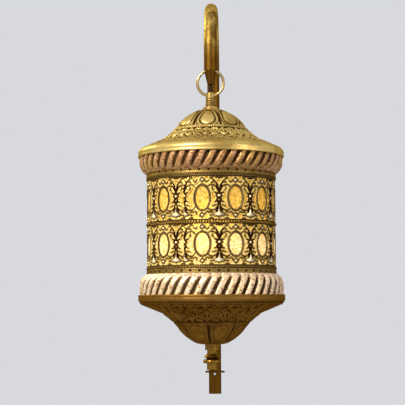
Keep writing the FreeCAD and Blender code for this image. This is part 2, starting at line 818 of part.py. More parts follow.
def bandOutline(edge, way, end):
    """A ribbed band's section: it swells from its edge at the collar to the full radius inside the rim."""
    outer = s.drum_radius + s.collar_flare
    inner = outer - s.band_wall
    swell = edge + s.band_rise * way
    innerArc = (s.band_wall - s.band_arc_radius) * way
    return [
        (inner, edge), (outer, edge, s.band_arc_radius * way), (bandRadius, swell),
        (bandRadius, end), (bandInside, end), (bandInside, swell, innerArc),
    ]


def makeShell():
    capHole = pipeRadius + s.fit_gap
    turned("cap_dome", stampOutline(capRimLevel, 1, s.cap_crown_radius, capHole), y=lanternY)
    turned("upper_ribbed_band", bandOutline(collarTop, 1, capRimLevel + s.band_seat), y=lanternY)
    flared = s.drum_radius + s.collar_flare
    turned("upper_collar", [
        (drumInside, drumTop), (s.drum_radius, drumTop), (flared, collarTop), (drumInside, collarTop),
    ], y=lanternY)
    turned("lower_collar", [
        (drumInside - s.collar_ledge, collarBottom), (flared, collarBottom), (s.drum_radius, drumBottom),
        (drumInside, drumBottom), (drumInside, ledgeTop), (drumInside - s.collar_ledge, ledgeTop),
    ], y=lanternY)
    turned("lower_ribbed_band", bandOutline(collarBottom, -1, bowlRimLevel - s.band_seat), y=lanternY)
    wire = doc.addObject("Part::Torus", "DividerWire")
    bind(wire, Radius1=drumInside + s.divider_wire_radius, Radius2=s.divider_wire_radius)
    keep(place(wire, y=lanternY, z=dividerLevel), "divider_wire")
    glass = drumInside - s.clear_gap
    diffuser = tubeOutline(glass - s.diffuser_wall, glass, ledgeTop + s.fit_gap, collarTop)
    turned("amber_diffuser", diffuser, y=lanternY)


def makePiercedSheet(label, low, high):
    """Rolled sheet with pointed oval windows, a round one between each two, and a wider gap at the seam."""
    body = turnedBody(label, tubeOutline(drumInside, s.drum_radius, low, high))
    middle = (low + high) / 2
    wide, tall = s.window_half_width, s.window_half_height
    bow = (wide * wide + tall * tall) / (wide * 2)
    through = s.drum_radius * 1.5
    ovalSketch = outlineSketch(body, "XZ_Plane", [(0, middle - tall, bow), (0, middle + tall, bow)])
    oval = pocketAlong(body, ovalSketch, through, reversedWay=True)
    doc.recompute()
    ovals = patterned(body, [oval], s.window_count, s.window_span)
    doc.recompute()
    pitch = s.window_span / (s.window_count - 1)
    across = s.drum_radius * (pitch / 2).sine()
    linkHole = roundHole(body, "XZ_Plane", across, middle, s.link_window_radius, through, reversedWay=True)
    doc.recompute()
    patterned(body, [linkHole], s.window_count - 1, s.window_span - pitch)
    place(body, y=lanternY, turn=((0, 0, 1), s.window_turn.value))
    return keep(body, label)


# ---- lamp ----

def makePipe():
    """Hollow pipe that carries the lantern, with a cross eye and grooves on the head above the cap."""
    outline = [(pipeBore, s.pipe_low_end), (pipeRadius, s.pipe_low_end)]
    for index in (2, 1, 0):
        top = pipeTop - s.groove_first - s.groove_pitch * index
        grooved = pipeRadius - s.groove_depth
        outline += [(pipeRadius, top - s.groove_width), (grooved, top - s.groove_width),
                    (grooved, top), (pipeRadius, top)]
    outline += [(pipeRadius, pipeTop - s.groove_depth), (pipeRadius - s.groove_depth, pipeTop),
                (pipeBore, pipeTop)]
    body = turned("eye_pipe", outline, y=lanternY)
    roundHole(body, "YZ_Plane", -ringOffset, pipeEyeLevel, pipeEyeRadius, pipeRadius * 3, midplane=True)


def locknut(level):
    """A hexagon nut on the lamp pipe, standing on the given level."""
    blank = hexagon("LocknutBlank", s.locknut_radius, s.locknut_thick, y=lanternY, z=level)
    bore = cylinder("LocknutBore", pipeRadius + s.fit_gap, s.locknut_thick * 3, y=lanternY,
                    z=level - s.locknut_thick)
    return cut("Locknut", blank, bore)


def crossBar(label, level, bore):
    """Two flat bars crossed, that reach the inside of a band and hold a rod in the middle."""
    half = bandInside - s.clear_gap * 2
    wide, thick = s.cross_bar_width, s.cross_bar_thick
    bars = fuse("Bars", box("BarAcross", half * 2, wide, thick, x=-half, y=lanternY - wide / 2, z=level),
                box("BarAlong", wide, half * 2, thick, x=-wide / 2, y=lanternY - half, z=level))
    hole = cylinder("BarHole", bore, thick * 3, y=lanternY, z=level - thick)
    keep(cut("CrossBar", bars, hole), label)


def makePipeFittings():
    pipeHole = pipeRadius + s.fit_gap
    nutTop = capCrownLevel + s.collar_nut_height
    turned("cap_collar_nut", tubeOutline(pipeHole, s.collar_nut_radius, capCrownLevel, nutTop), y=lanternY)
    under = capCrownLevel - s.stamp_sheet
    turned("cap_washer", tubeOutline(pipeHole, s.washer_radius, under - s.washer_thick, under), y=lanternY)
    crossLevel = capRimLevel + s.band_seat - s.top_cross_inset
    crossBar("top_cross_bar", crossLevel, pipeHole)
    holderTop = s.pipe_low_end + s.holder_over_pipe
    levels = [
        under - s.washer_thick - s.locknut_thick,
        crossLevel + s.cross_bar_thick,
        holderTop,
        holderTop - s.holder_cap_wall - s.locknut_thick,
    ]
    keep(group("PipeNuts", *[locknut(level) for level in levels]), "pipe_locknuts")


def makeLampHolder():
    """Holder under the pipe: a metal cap, an insulating body, the screw shell and the centre contact."""
    top = s.pipe_low_end + s.holder_over_pipe
    low, wall, radius = top - s.holder_cap_height, s.holder_cap_wall, s.holder_cap_radius
    pipeHole = pipeRadius + s.fit_gap
    turned("holder_cap", [
        (radius - wall, low), (radius, low), (radius, top), (pipeHole, top), (pipeHole, top - wall),
        (radius - wall, top - wall),
    ], y=lanternY)
    body = radius - wall - s.fit_gap
    bodyTop = top - s.holder_gap
    bodyLow = bodyTop - s.holder_height
    boreTop = bodyTop - s.holder_top_wall
    turned("holder_body", [
        (s.holder_bore, bodyLow), (body, bodyLow), (body, bodyTop), (0, bodyTop), (0, boreTop),
        (s.holder_bore, boreTop),
    ], y=lanternY)
    shell, shellTop = s.holder_bore - s.fit_gap, boreTop - s.shell_drop
    turned("holder_shell", tubeOutline(shell - s.shell_wall, shell, shellTop - s.shell_height, shellTop),
           y=lanternY)
    turned("holder_contact", rodOutline(s.contact_radius, boreTop - s.contact_thick, boreTop), y=lanternY)
    return boreTop - s.contact_thick


def makeBulb(contactLevel):
    """Round bulb that hangs cap upwards: glass, screw cap, and the stem that holds its filament."""
    tip = contactLevel - s.clear_gap
    low = tip - s.bulb_cap_height
    radius, wall = s.bulb_cap_radius, s.bulb_cap_wall
    shoulder = tip - s.bulb_cap_taper
    turned("bulb_cap", [
        (radius - wall, low), (radius, low), (radius, shoulder), (s.bulb_tip_radius, tip), (0, tip),
        (0, shoulder), (radius - wall, shoulder),
    ], y=lanternY)
    centre = low - s.bulb_neck_level
    ball, glass, neck = s.bulb_radius, s.bulb_glass_wall, s.bulb_neck_radius
    bend, narrow = centre + s.bulb_shoulder_level, centre + s.bulb_neck_level
    neckTop = low + s.bulb_neck_inside
    turned("bulb_glass", [
        (0, centre - ball, ball), (s.bulb_shoulder_radius, bend), (neck, narrow), (neck, neckTop),
        (neck - glass, neckTop), (neck - glass, narrow - glass / 2),
        (s.bulb_shoulder_radius - glass, bend - glass / 2, glass - ball), (0, centre - ball + glass),
    ], y=lanternY)
    level = centre + s.filament_rise
    filament = doc.addObject("Part::Torus", "FilamentLoop")
    bind(filament, Radius1=s.filament_radius, Radius2=s.filament_wire_radius)
    place(filament, y=lanternY, z=level)
    lead = cylinder("FilamentLead", s.filament_wire_radius, s.filament_radius * 2, x=-s.filament_radius,
                    y=lanternY, z=level, turn=sideways)
    stem = cylinder("FilamentStem", s.bulb_stem_radius, neckTop - level + 1, y=lanternY, z=level - 1)
    foot = cylinder("FilamentFoot", neck - glass - s.fit_gap, s.bulb_foot_thick, y=lanternY,
                    z=neckTop - s.bulb_foot_thick)
    keep(fuse("Filament", filament, lead, stem, foot), "bulb_filament")


# ---- bowl, and the rod and finial that hold it ----

def rodNut(level):
    blank = hexagon("RodNutBlank", s.rod_nut_radius, s.rod_nut_thick, y=lanternY, z=level)
    bore = cylinder("RodNutBore", s.rod_radius + s.fit_gap, s.rod_nut_thick * 3, y=lanternY,
                    z=level - s.rod_nut_thick)
    return cut("RodNut", blank, bore)


def makeBowl():
    level = bowlRimLevel + s.bottom_cross_rise
    crossBar("bottom_cross_bar", level, s.rod_radius + s.fit_gap)
    rodLow = bowlCrownLevel - s.rod_in_finial
    keep(cylinder("Rod", s.rod_radius, level + s.rod_rise - rodLow, y=lanternY, z=rodLow), "bowl_rod")
    nuts = [rodNut(level + s.cross_bar_thick), rodNut(level - s.rod_nut_thick)]
    keep(group("RodNuts", *nuts), "rod_nuts")
    hole = s.rod_radius + s.clear_gap
    turned("bowl", stampOutline(bowlRimLevel, -1, s.bowl_crown_radius, hole), y=lanternY)


def makeFinial():
    """Turned finial: collars, a cove, a flared lip, a bead and a plain tip, bored to screw on the rod."""
    top = bowlCrownLevel
    bore, boreEnd = s.rod_radius + s.run_gap, top - s.rod_in_finial - 1
    collar, neck = s.finial_collar_radius, s.finial_neck_radius
    bead, stem = s.finial_bead_radius, s.finial_stem_radius
    half = s.finial_collar_height / 2
    groove = s.finial_groove / 2
    turned("bottom_finial", [
        (bore, top), (bore, boreEnd), (0, boreEnd), (0, top - s.finial_height),
        (stem, top - s.finial_height), (stem, top - s.finial_bead_bottom),
        (bead - 1, top - s.finial_bead_bottom, s.finial_bead_arc), (bead - 1, top - s.finial_bead_top),
        (neck, top - s.finial_waist_drop), (s.finial_flare_radius, top - s.finial_flare_drop),
        (neck, top - s.finial_neck_drop), (neck, top - s.finial_collar_height),
        (collar, top - s.finial_collar_height), (collar, top - half - groove),
        (collar - s.finial_groove, top - half - groove), (collar - s.finial_groove, top - half + groove),
        (collar, top - half + groove), (collar, top),
    ], y=lanternY)


# ---- build, check and write ----

def checkDocument():
    """Stop on a failed object, a cut that took nothing away, or a sub-part that is empty or invalid."""
    for thing in doc.Objects:
        if "Invalid" in thing.State or "Error" in thing.State:
            owner = thing.getParentGeoFeatureGroup() or doc
            raise RuntimeError(f"{thing.Name} of {owner.Label} failed: {thing.State}")
        if thing.TypeId in ("PartDesign::Pocket", "PartDesign::Groove"):
            if thing.Shape.Volume > thing.BaseFeature.Shape.Volume - 0.1:
                raise RuntimeError(f"{thing.Name} of {thing.getParentGeoFeatureGroup().Label} cuts nothing")
    for thing in subParts:
        if thing.Shape.isNull() or not thing.Shape.isValid() or not thing.Shape.Solids:
            raise RuntimeError(f"{thing.Label} has no valid solid")


def writeParts():
    os.makedirs("parts", exist_ok=True)
    for thing in subParts:
        thing.Shape.exportStep(f"parts/{thing.Label}.step")
        print(f"{thing.Label}: {len(thing.Shape.Solids)} solid(s), {thing.Shape.Volume:.1f} mm3")


makeBracket()
makeCanopy()
makeStem()
blockTop, blockMiddle = makeTerminals()
makeSocket()
makeArmTube()
makeArmTip()
makeArmEnd()
makeBearing()
makeFlexes(blockTop, blockMiddle)
makeRing()
makeShell()
makePiercedSheet("upper_pierced_sheet", dividerLevel + s.divider_wire_radius, drumTop)
makePiercedSheet("lower_pierced_sheet", drumBottom, dividerLevel - s.divider_wire_radius)
makePipe()
makePipeFittings()
contactLevel = makeLampHolder()
makeBulb(contactLevel)
makeBowl()
makeFinial()
doc.recompute()
checkDocument()
writeParts()
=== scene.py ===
import math

import bmesh
import bpy
import numpy as np
from mathutils import Matrix, Vector


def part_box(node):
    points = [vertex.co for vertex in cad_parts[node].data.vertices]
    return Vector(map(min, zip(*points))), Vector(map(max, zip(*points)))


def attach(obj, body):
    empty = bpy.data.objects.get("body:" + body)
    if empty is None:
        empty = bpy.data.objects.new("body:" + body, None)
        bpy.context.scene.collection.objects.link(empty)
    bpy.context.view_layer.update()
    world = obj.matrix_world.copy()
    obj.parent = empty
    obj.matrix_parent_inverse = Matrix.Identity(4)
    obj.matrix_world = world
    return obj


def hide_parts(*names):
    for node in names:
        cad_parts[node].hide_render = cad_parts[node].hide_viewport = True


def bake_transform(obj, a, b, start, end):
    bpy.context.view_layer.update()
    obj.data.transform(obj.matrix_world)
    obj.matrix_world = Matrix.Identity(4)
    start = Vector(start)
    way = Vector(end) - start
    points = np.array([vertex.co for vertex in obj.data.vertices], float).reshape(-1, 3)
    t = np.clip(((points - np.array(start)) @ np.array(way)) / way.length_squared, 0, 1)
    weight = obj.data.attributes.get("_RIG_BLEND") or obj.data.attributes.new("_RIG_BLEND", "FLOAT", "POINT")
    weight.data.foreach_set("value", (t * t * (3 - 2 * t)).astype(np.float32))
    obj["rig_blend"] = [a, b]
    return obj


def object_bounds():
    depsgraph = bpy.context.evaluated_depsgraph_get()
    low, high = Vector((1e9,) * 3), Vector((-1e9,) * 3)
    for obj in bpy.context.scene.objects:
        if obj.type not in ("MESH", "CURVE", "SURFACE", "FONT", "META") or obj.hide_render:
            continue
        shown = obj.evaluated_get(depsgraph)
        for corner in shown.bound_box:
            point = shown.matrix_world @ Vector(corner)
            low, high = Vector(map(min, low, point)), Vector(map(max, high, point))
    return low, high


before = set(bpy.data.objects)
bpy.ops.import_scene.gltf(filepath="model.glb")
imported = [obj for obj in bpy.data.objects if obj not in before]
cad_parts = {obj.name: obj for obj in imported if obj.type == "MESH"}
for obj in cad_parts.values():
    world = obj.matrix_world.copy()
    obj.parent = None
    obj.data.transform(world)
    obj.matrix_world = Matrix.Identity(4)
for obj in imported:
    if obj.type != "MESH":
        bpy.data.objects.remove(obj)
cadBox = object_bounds()
mm = 0.001

# places that the pieces share, read from the CAD nodes; angles round the lantern run from its
# front, towards +X, and lengths on it are in millimetres
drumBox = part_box("amber_diffuser")
lanternY = (drumBox[0].y + drumBox[1].y) / 2
lanternAxis = Vector((0, lanternY, 0))
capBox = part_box("cap_dome")
rimRadius = capBox[1].x / mm
stampHeight = (capBox[1].z - capBox[0].z) / mm
farAway = 9.0    # stands for any distance too large to matter


def mathsNode(operation, turned=False):
    # a method that adds a Math node, with its two values turned round in a reflected form
    def method(self, other):
        first, second = (other, self) if turned else (self, other)
        return self.node("ShaderNodeMath", {"operation": operation}, {0: first, 1: second})
    return method


class Wire:
    # a value in a node tree: operators add Math nodes, and node() adds any other node
    def __init__(self, tree, socket=None):
        self.tree = tree
        self.socket = socket

    def node(self, kind, settings=None, values=None, give=0):
        # give is the output that the expression goes on with
        made = self.tree.nodes.new(kind)
        for name, setting in (settings or {}).items():
            setattr(made, name, setting)
        for name, value in (values or {}).items():
            if isinstance(value, Wire):
                self.tree.links.new(value.socket, made.inputs[name])
            else:
                made.inputs[name].default_value = value
        return Wire(self.tree, made.outputs[give]) if len(made.outputs) else made

    __add__ = __radd__ = mathsNode("ADD")
    __mul__ = __rmul__ = mathsNode("MULTIPLY")
    __sub__ = mathsNode("SUBTRACT")
    __rsub__ = mathsNode("SUBTRACT", True)
    __truediv__ = mathsNode("DIVIDE")
    larger = mathsNode("MAXIMUM")
    smaller = mathsNode("MINIMUM")

    def between(self, low, high):
        # 0 below low, 1 above high, smooth in between
        return self.node("ShaderNodeMapRange", {"interpolation_type": "SMOOTHSTEP"},
                         {"Value": self, "From Min": low, "From Max": high})

    def mix(self, first, second):
        # this value as the factor from one colour to the other
        return self.node("ShaderNodeMix", {"data_type": "RGBA"}, {0: self, 6: first, 7: second}, 2)


def newMaterial(name):
    material = bpy.data.materials.new(name)
    material.use_nodes = True
    material.node_tree.nodes.clear()
    return material, Wire(material.node_tree)


def shade(wire, values):
    # close a material with a Principled shader
    shader = wire.node("ShaderNodeBsdfPrincipled", None, values)
    wire.node("ShaderNodeOutputMaterial", None, {"Surface": shader})


def rgba(color):
    return (*color, 1.0)


def objectPlace(wire):
    return wire.node("ShaderNodeTexCoord", give=3)


def heightOf(wire, place):
    return wire.node("ShaderNodeSeparateXYZ", None, {0: place}, 2)


def noise(wire, place, scale, detail=3.0, roughness=0.55, stretch=None):
    if stretch:
        place = wire.node("ShaderNodeMapping", None, {"Vector": place, "Scale": stretch})
    return wire.node("ShaderNodeTexNoise", None,
                     {"Vector": place, "Scale": scale, "Detail": detail, "Roughness": roughness})


grain = {
    "patchEdge": 0.22,       # how softly the worn patches end
    "speckEdge": 0.08,
    "otherFrom": 0.42,
    "otherTo": 0.60,
    "wornRoughness": 0.22,   # added where the metal is worn
    "hollowRoughness": 0.3,
    "speckRise": 0.35,
    "patchSink": 0.25,
    "relief": 0.0004,
}


def antiqueMetal(name, look):
    # polished where it stands proud, brown in its hollows and where shade is painted in, with worn patches
    # and fine pits
    material, wire = newMaterial(name)
    place = objectPlace(wire)
    hollowAndShade = wire.node("ShaderNodeAttribute", {"attribute_name": "hollowAndShade"}, give=2)
    cloud = noise(wire, place, look["patchScale"], 5.0, 0.6, look.get("stretch"))
    fine = noise(wire, place, look["speckScale"], 2.0, 0.6)
    patch = cloud.between(look["patchFrom"], look["patchFrom"] + grain["patchEdge"]) * look["patchDepth"]
    speck = fine.between(look["speckFrom"], look["speckFrom"] + grain["speckEdge"]) * look["speckDepth"]
    worn = patch.larger(speck)
    color = rgba(look["color"])
    if "lowAt" in look:
        # a different colour lower down: on the arm, painted shade that darkens and browns its lower part; the
        # lowest turned parts are darker too, and the ring's lower part paler
        color = heightOf(wire, place).between(*look["lowAt"]).mix(color, rgba(look["lowColor"]))
    color = worn.mix(color, rgba(look["patchColor"]))
    if "otherColor" in look:
        tone = noise(wire, place, look["otherScale"], 2.0).between(grain["otherFrom"], grain["otherTo"])
        color = (tone * (1.0 - worn)).mix(color, rgba(look["otherColor"]))
    if "paleColor" in look:
        # a value below zero paints the pale colour: a painted highlight on the pierced sheet's fields, and
        # the paler beads and bells of the filigree
        color = (0.0 - hollowAndShade).larger(0.0).mix(color, rgba(look["paleColor"]))
    dark = (hollowAndShade * look["hollowDepth"]).smaller(1.0).larger(0.0)
    color = dark.mix(color, rgba(look["hollowAndShadeColor"]))
    rough = look["roughness"] + worn * grain["wornRoughness"] + dark * grain["hollowRoughness"]
    height = fine * grain["speckRise"] - cloud * grain["patchSink"]
    normal = wire.node("ShaderNodeBump", None,
                       {"Strength": look["bump"], "Distance": grain["relief"], "Height": height})
    shade(wire, {"Base Color": color, "Metallic": look["metallic"], "Roughness": rough, "Normal": normal,
                 "IOR": look.get("ior", 1.45), "Specular Tint": rgba(look["edgeTint"])})
    return material


def plainMaterial(name, look):
    # one colour, a little darker in soft clouds
    material, wire = newMaterial(name)
    cloudScale, cloudFrom, cloudTo = 300.0, 0.35, 0.7
    cloud = noise(wire, objectPlace(wire), cloudScale).between(cloudFrom, cloudTo)
    darker = [channel * look.get("shadeBy", 0.8) for channel in look["color"]]
    shade(wire, {"Base Color": cloud.mix(rgba(look["color"]), rgba(darker)),
                 "Metallic": look.get("metallic", 0.0), "Roughness": look["roughness"],
                 "IOR": look.get("ior", 1.45)})
    return material


def crackledAmber(name, look):
    # amber glass, crazed all over, with the bulb's glow painted on as emission, strongest at the bulb's own
    # height
    material, wire = newMaterial(name)
    place = objectPlace(wire)
    bent = noise(wire, place, look["bendScale"], 2.0)
    crazeAt = wire.node("ShaderNodeVectorMath", {"operation": "MULTIPLY_ADD"},
                        {0: wire.node("ShaderNodeCombineXYZ", None, {0: bent, 1: bent, 2: bent}),
                         1: (look["bendBy"],) * 3, 2: place})
    cells = wire.node("ShaderNodeTexVoronoi", {"feature": "DISTANCE_TO_EDGE"},
                      {"Vector": crazeAt, "Scale": look["crazeScale"]})
    shards = wire.node("ShaderNodeTexVoronoi", {"feature": "F1"},
                       {"Vector": crazeAt, "Scale": look["shardScale"]}, 1)
    shard = wire.node("ShaderNodeSeparateColor", None, {0: shards})
    vein = 1.0 - cells.between(0.0, look["veinWidth"])
    mottle = noise(wire, place, look["mottleScale"], 3.0, 0.65).between(look["mottleFrom"], look["mottleTo"])
    away = (heightOf(wire, place) - look["glowLevel"]) / look["glowReach"]
    glow = 1.0 - (away * away).between(0.0, 1.0)
    glow = glow * look["nearShare"] + shard * look["shardShare"] + mottle * look["mottleShare"] - look["dim"]
    color = glow.between(0.0, 1.0).mix(rgba(look["edgeColor"]), rgba(look["heartColor"]))
    core = 1.0 - (away * away).between(0.0, look["coreReach"])
    color = (core * (shard + mottle).between(-0.1, 0.7)).mix(color, rgba(look["coreColor"]))
    color = (vein * look["veinDepth"]).mix(color, rgba(look["veinColor"]))
    normal = wire.node("ShaderNodeBump", None,
                       {"Strength": 0.5, "Distance": look["relief"], "Height": shard + vein * 0.5})
    body = mottle.mix(rgba(look["darkGlass"]), rgba(look["glassColor"]))
    shade(wire, {"Base Color": body, "Roughness": 0.22, "IOR": 1.2, "Normal": normal,
                 "Transmission Weight": look["clear"], "Emission Color": color,
                 "Emission Strength": look["strength"]})
    return material


def litMaterial(name, color, strength, clear=0.0):
    material, wire = newMaterial(name)
    shade(wire, {"Base Color": rgba(color), "Roughness": 0.15, "Transmission Weight": clear, "IOR": 1.2,
                 "Emission Color": rgba(color), "Emission Strength": strength})
    return material


# each look: colours of the bright metal, its worn patches and its hollows and painted shade, then their sizes
# and depths
armLook = {
    "color": (0.68, 0.46, 0.12), "patchColor": (0.10, 0.045, 0.006), "hollowAndShadeColor": (0.05, 0.025, 0.008),
    "patchScale": 100.0, "patchFrom": 0.43, "patchDepth": 0.85, "stretch": (1.0, 1.0, 0.5),
    "speckScale": 300.0, "speckFrom": 0.58, "speckDepth": 0.9, "hollowDepth": 1.0,
    "metallic": 0.95, "roughness": 0.33, "bump": 0.3, "edgeTint": (0.55, 0.40, 0.20),
    # painted shade: the arm turns darker and browner lower down
    "lowColor": (0.13, 0.060, 0.006), "lowAt": (0.222, 0.165),
}
ringLook = {
    **armLook, "color": (0.48, 0.345, 0.14), "patchColor": (0.40, 0.27, 0.10), "patchDepth": 0.5,
    "roughness": 0.24, "speckDepth": 0.25, "bump": 0.05,
    "lowColor": (0.60, 0.45, 0.20), "lowAt": (0.14, 0.12),
}
turnedLook = {
    **armLook, "color": (0.52, 0.35, 0.105), "patchDepth": 0.5, "stretch": (1.0, 1.0, 1.0),
    "lowColor": (0.25, 0.135, 0.024), "lowAt": (-0.11, -0.13),
}
capLook = {
    "color": (0.73, 0.52, 0.17), "patchColor": (0.28, 0.165, 0.032), "hollowAndShadeColor": (0.055, 0.026, 0.005),
    "patchScale": 45.0, "patchFrom": 0.46, "patchDepth": 0.7,
    "speckScale": 520.0, "speckFrom": 0.62, "speckDepth": 0.7, "hollowDepth": 1.35,
    "metallic": 0.9, "roughness": 0.34, "bump": 0.35, "edgeTint": (0.45, 0.34, 0.18),
}
# painted shade: the bowl is stamped like the cap from the same brass, but coloured much darker for the shade
# on its underside
shadedBowlLook = {
    **capLook, "color": (0.24, 0.120, 0.024), "patchColor": (0.13, 0.055, 0.009), "patchScale": 70.0,
    "hollowAndShadeColor": (0.042, 0.017, 0.003), "roughness": 0.5, "hollowDepth": 0.85, "metallic": 1.0,
}
# painted shade and painted light: both ribbed bands are one copper, coloured darker on the upper band for its
# shade under the cap and paler on the lower band where the light falls more strongly
shadedUpperRibLook = {
    "color": (0.62, 0.35, 0.18), "patchColor": (0.26, 0.105, 0.026), "hollowAndShadeColor": (0.070, 0.032, 0.007),
    "patchScale": 150.0, "patchFrom": 0.44, "patchDepth": 0.75,
    "speckScale": 430.0, "speckFrom": 0.52, "speckDepth": 0.95, "hollowDepth": 1.1,
    "metallic": 0.6, "roughness": 0.45, "bump": 0.5, "edgeTint": (0.8, 0.7, 0.6),
    "otherScale": 38.0, "otherColor": (0.58, 0.36, 0.10),
}
litLowerRibLook = {
    **shadedUpperRibLook, "color": (0.94, 0.70, 0.42), "patchColor": (0.36, 0.18, 0.065), "patchDepth": 0.35,
    "speckFrom": 0.535, "hollowAndShadeColor": (0.070, 0.033, 0.006), "otherColor": (0.88, 0.67, 0.47),
}
drumLook = {**capLook, "color": (0.36, 0.23, 0.065), "hollowAndShadeColor": (0.030, 0.013, 0.003), "patchDepth": 0.6}
filigreeLook = {
    **drumLook, "color": (0.66, 0.46, 0.18), "hollowAndShadeColor": (0.032, 0.010, 0.003),
    "patchColor": (0.22, 0.11, 0.03), "speckDepth": 0.5, "ior": 1.15, "hollowDepth": 1.1,
    "metallic": 0.5, "roughness": 0.42, "paleColor": (1.0, 0.86, 0.56),
}
sheetLook = {
    **filigreeLook, "color": (0.74, 0.52, 0.14), "patchColor": (0.34, 0.18, 0.03), "patchScale": 130.0,
    "patchDepth": 0.85, "hollowAndShadeColor": (0.13, 0.056, 0.007), "paleColor": (0.98, 0.76, 0.25),
}
# painted light: the glow that the bulb throws through the diffuser, as emission colours and strength
glowLook = {
    "bendScale": 90.0, "bendBy": 0.006, "crazeScale": 230.0, "shardScale": 330.0, "mottleScale": 260.0,
    "mottleFrom": 0.36, "mottleTo": 0.60, "veinWidth": 0.16, "veinDepth": 0.9, "relief": 0.0006,
    "glowLevel": -0.034, "glowReach": 0.066, "coreReach": 0.14,
    "nearShare": 0.75, "shardShare": 0.6, "mottleShare": 0.55, "dim": 0.55,
    "edgeColor": (0.25, 0.17, 0.008), "heartColor": (0.53, 0.42, 0.07), "coreColor": (0.86, 0.80, 0.56),
    "veinColor": (0.20, 0.065, 0.003), "glassColor": (0.95, 0.66, 0.20), "darkGlass": (0.54, 0.37, 0.05),
    "clear": 0.5, "strength": 0.62,
}

armBrass = antiqueMetal("armBrass", armLook)
ringBrass = antiqueMetal("ringBrass", ringLook)
capBrass = antiqueMetal("capBrass", capLook)
shadedBowlBrass = antiqueMetal("shadedBowlBrass", shadedBowlLook)
shadedUpperRibCopper = antiqueMetal("shadedUpperRibCopper", shadedUpperRibLook)
litLowerRibCopper = antiqueMetal("litLowerRibCopper", litLowerRibLook)
drumBrass = antiqueMetal("drumBrass", drumLook)
filigreeBrass = antiqueMetal("filigreeBrass", filigreeLook)
sheetBrass = antiqueMetal("sheetBrass", sheetLook)
turnedBrass = antiqueMetal("turnedBrass", turnedLook)
amberGlass = crackledAmber("amberGlass", glowLook)
bulbGlow = litMaterial("bulbGlow", (1.0, 0.86, 0.56), 2.6, 0.3)
filamentGlow = litMaterial("filamentGlow", (1.0, 0.8, 0.45), 20.0)
steel = {"color": (0.80, 0.79, 0.76), "metallic": 1.0, "roughness": 0.2}
plastic = {"color": (0.86, 0.84, 0.76), "roughness": 0.5, "shadeBy": 0.95}
zincSteel = plainMaterial("zincSteel", {**steel, "color": (0.55, 0.55, 0.53), "roughness": 0.38})
screwSteel = plainMaterial("screwSteel", steel)
bulbCapMetal = plainMaterial("bulbCapMetal", {**steel, "color": (0.74, 0.73, 0.70), "roughness": 0.3})
terminalPlastic = plainMaterial("terminalPlastic", plastic)
holderCeramic = plainMaterial("holderCeramic", {**plastic, "color": (0.86, 0.83, 0.75), "roughness": 0.18})
flexCover = plainMaterial("flexCover", {"color": (0.035, 0.016, 0.006), "roughness": 0.7, "ior": 1.25})

nodeFinishes = {
    armBrass: ["arm_tube", "arm_tip", "arm_end_fitting", "arm_socket", "wall_canopy"],
    turnedBrass: ["canopy_ring_nut", "clamp_screw", "arm_bearing_ring", "cap_collar_nut", "eye_pipe",
                  "stem_pipe", "stem_lock_nut", "earth_screw", "cap_washer", "pipe_locknuts", "holder_cap",
                  "holder_shell", "holder_contact", "bowl_rod", "rod_nuts", "bottom_finial"],
    ringBrass: ["hanging_ring"],
    zincSteel: ["wall_bracket", "top_cross_bar", "bottom_cross_bar"],
    screwSteel: ["arm_end_screw", "bearing_grub_screw", "terminal_screws"],
    terminalPlastic: ["terminal_block"],
    flexCover: ["flex_in_stem", "flex_in_arm", "flex_in_lantern"],
    holderCeramic: ["holder_body"],
    bulbCapMetal: ["bulb_cap"],
    bulbGlow: ["bulb_glass"],
    filamentGlow: ["bulb_filament"],
    amberGlass: ["amber_diffuser"],
}
for finish, names in nodeFinishes.items():
    for name in names:
        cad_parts[name].material_slots[0].material = finish
print("materials ready")


def linkObject(name, data):
    made = bpy.data.objects.new(name, data)
    bpy.context.scene.collection.objects.link(made)
    return made


def linkMesh(name, shape, material):
    mesh = bpy.data.meshes.new(name)
    shape.to_mesh(mesh)
    shape.free()
    mesh.materials.append(material)
    return linkObject(name, mesh)


def layerOf(shape, name):
    # a number that each vertex holds, such as how dark its hollows and its painted shade are there
    layers = shape.verts.layers.float
    return layers.get(name) or layers.new(name)


def grow(shape, faces):
    # extrude faces, and give the new vertices and the new faces
    made = bmesh.ops.extrude_face_region(shape, geom=faces)["geom"]
    kinds = bmesh.types.BMVert, bmesh.types.BMFace
    return [[item for item in made if isinstance(item, kind)] for kind in kinds]


def finishPiece(name, shape, body, material, replaced=()):
    # a bmesh in millimetres about the lantern's axis becomes a piece in the shared frame
    bmesh.ops.scale(shape, vec=(mm, mm, mm), verts=shape.verts)
    bmesh.ops.translate(shape, vec=lanternAxis, verts=shape.verts)
    piece = linkMesh(name, shape, material)
    piece.data.shade_smooth()
    if body:
        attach(piece, body)
    if replaced:
        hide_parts(*replaced)
    return piece


def smoothLine(points, steps):
    # a smooth line through control points, with steps points to each stretch
    points = np.array(points, float)
    ends = np.vstack([2 * points[0] - points[1], points, 2 * points[-1] - points[-2]])
    line = []
    for index in range(len(points) - 1):
        before, first, second, after = ends[index:index + 4]
        for step in range(steps):
            share = step / steps
            line.append(0.5 * (2 * first + (second - before) * share
                               + (2 * before - 5 * first + 4 * second - after) * share ** 2
                               + (3 * first - before - 3 * second + after) * share ** 3))
    line.append(points[-1])
    return np.array(line)


def arcPoints(start, end, radius, count):
    # points on the arc from start to end; a positive radius bulges to the right of the way
    start, end = np.array(start, float), np.array(end, float)
    chord = end - start
    length = math.hypot(*chord)
    left = np.array([-chord[1], chord[0]]) / length
    centre = (start + end) / 2 + left * math.copysign(math.sqrt(radius ** 2 - length ** 2 / 4), radius)
    first, last = start - centre, end - centre
    angle = math.atan2(first[0] * last[1] - first[1] * last[0], first @ last)
    turns = np.linspace(0, angle, count)
    return [tuple(centre + (first[0] * math.cos(turn) - first[1] * math.sin(turn),
                            first[0] * math.sin(turn) + first[1] * math.cos(turn))) for turn in turns]


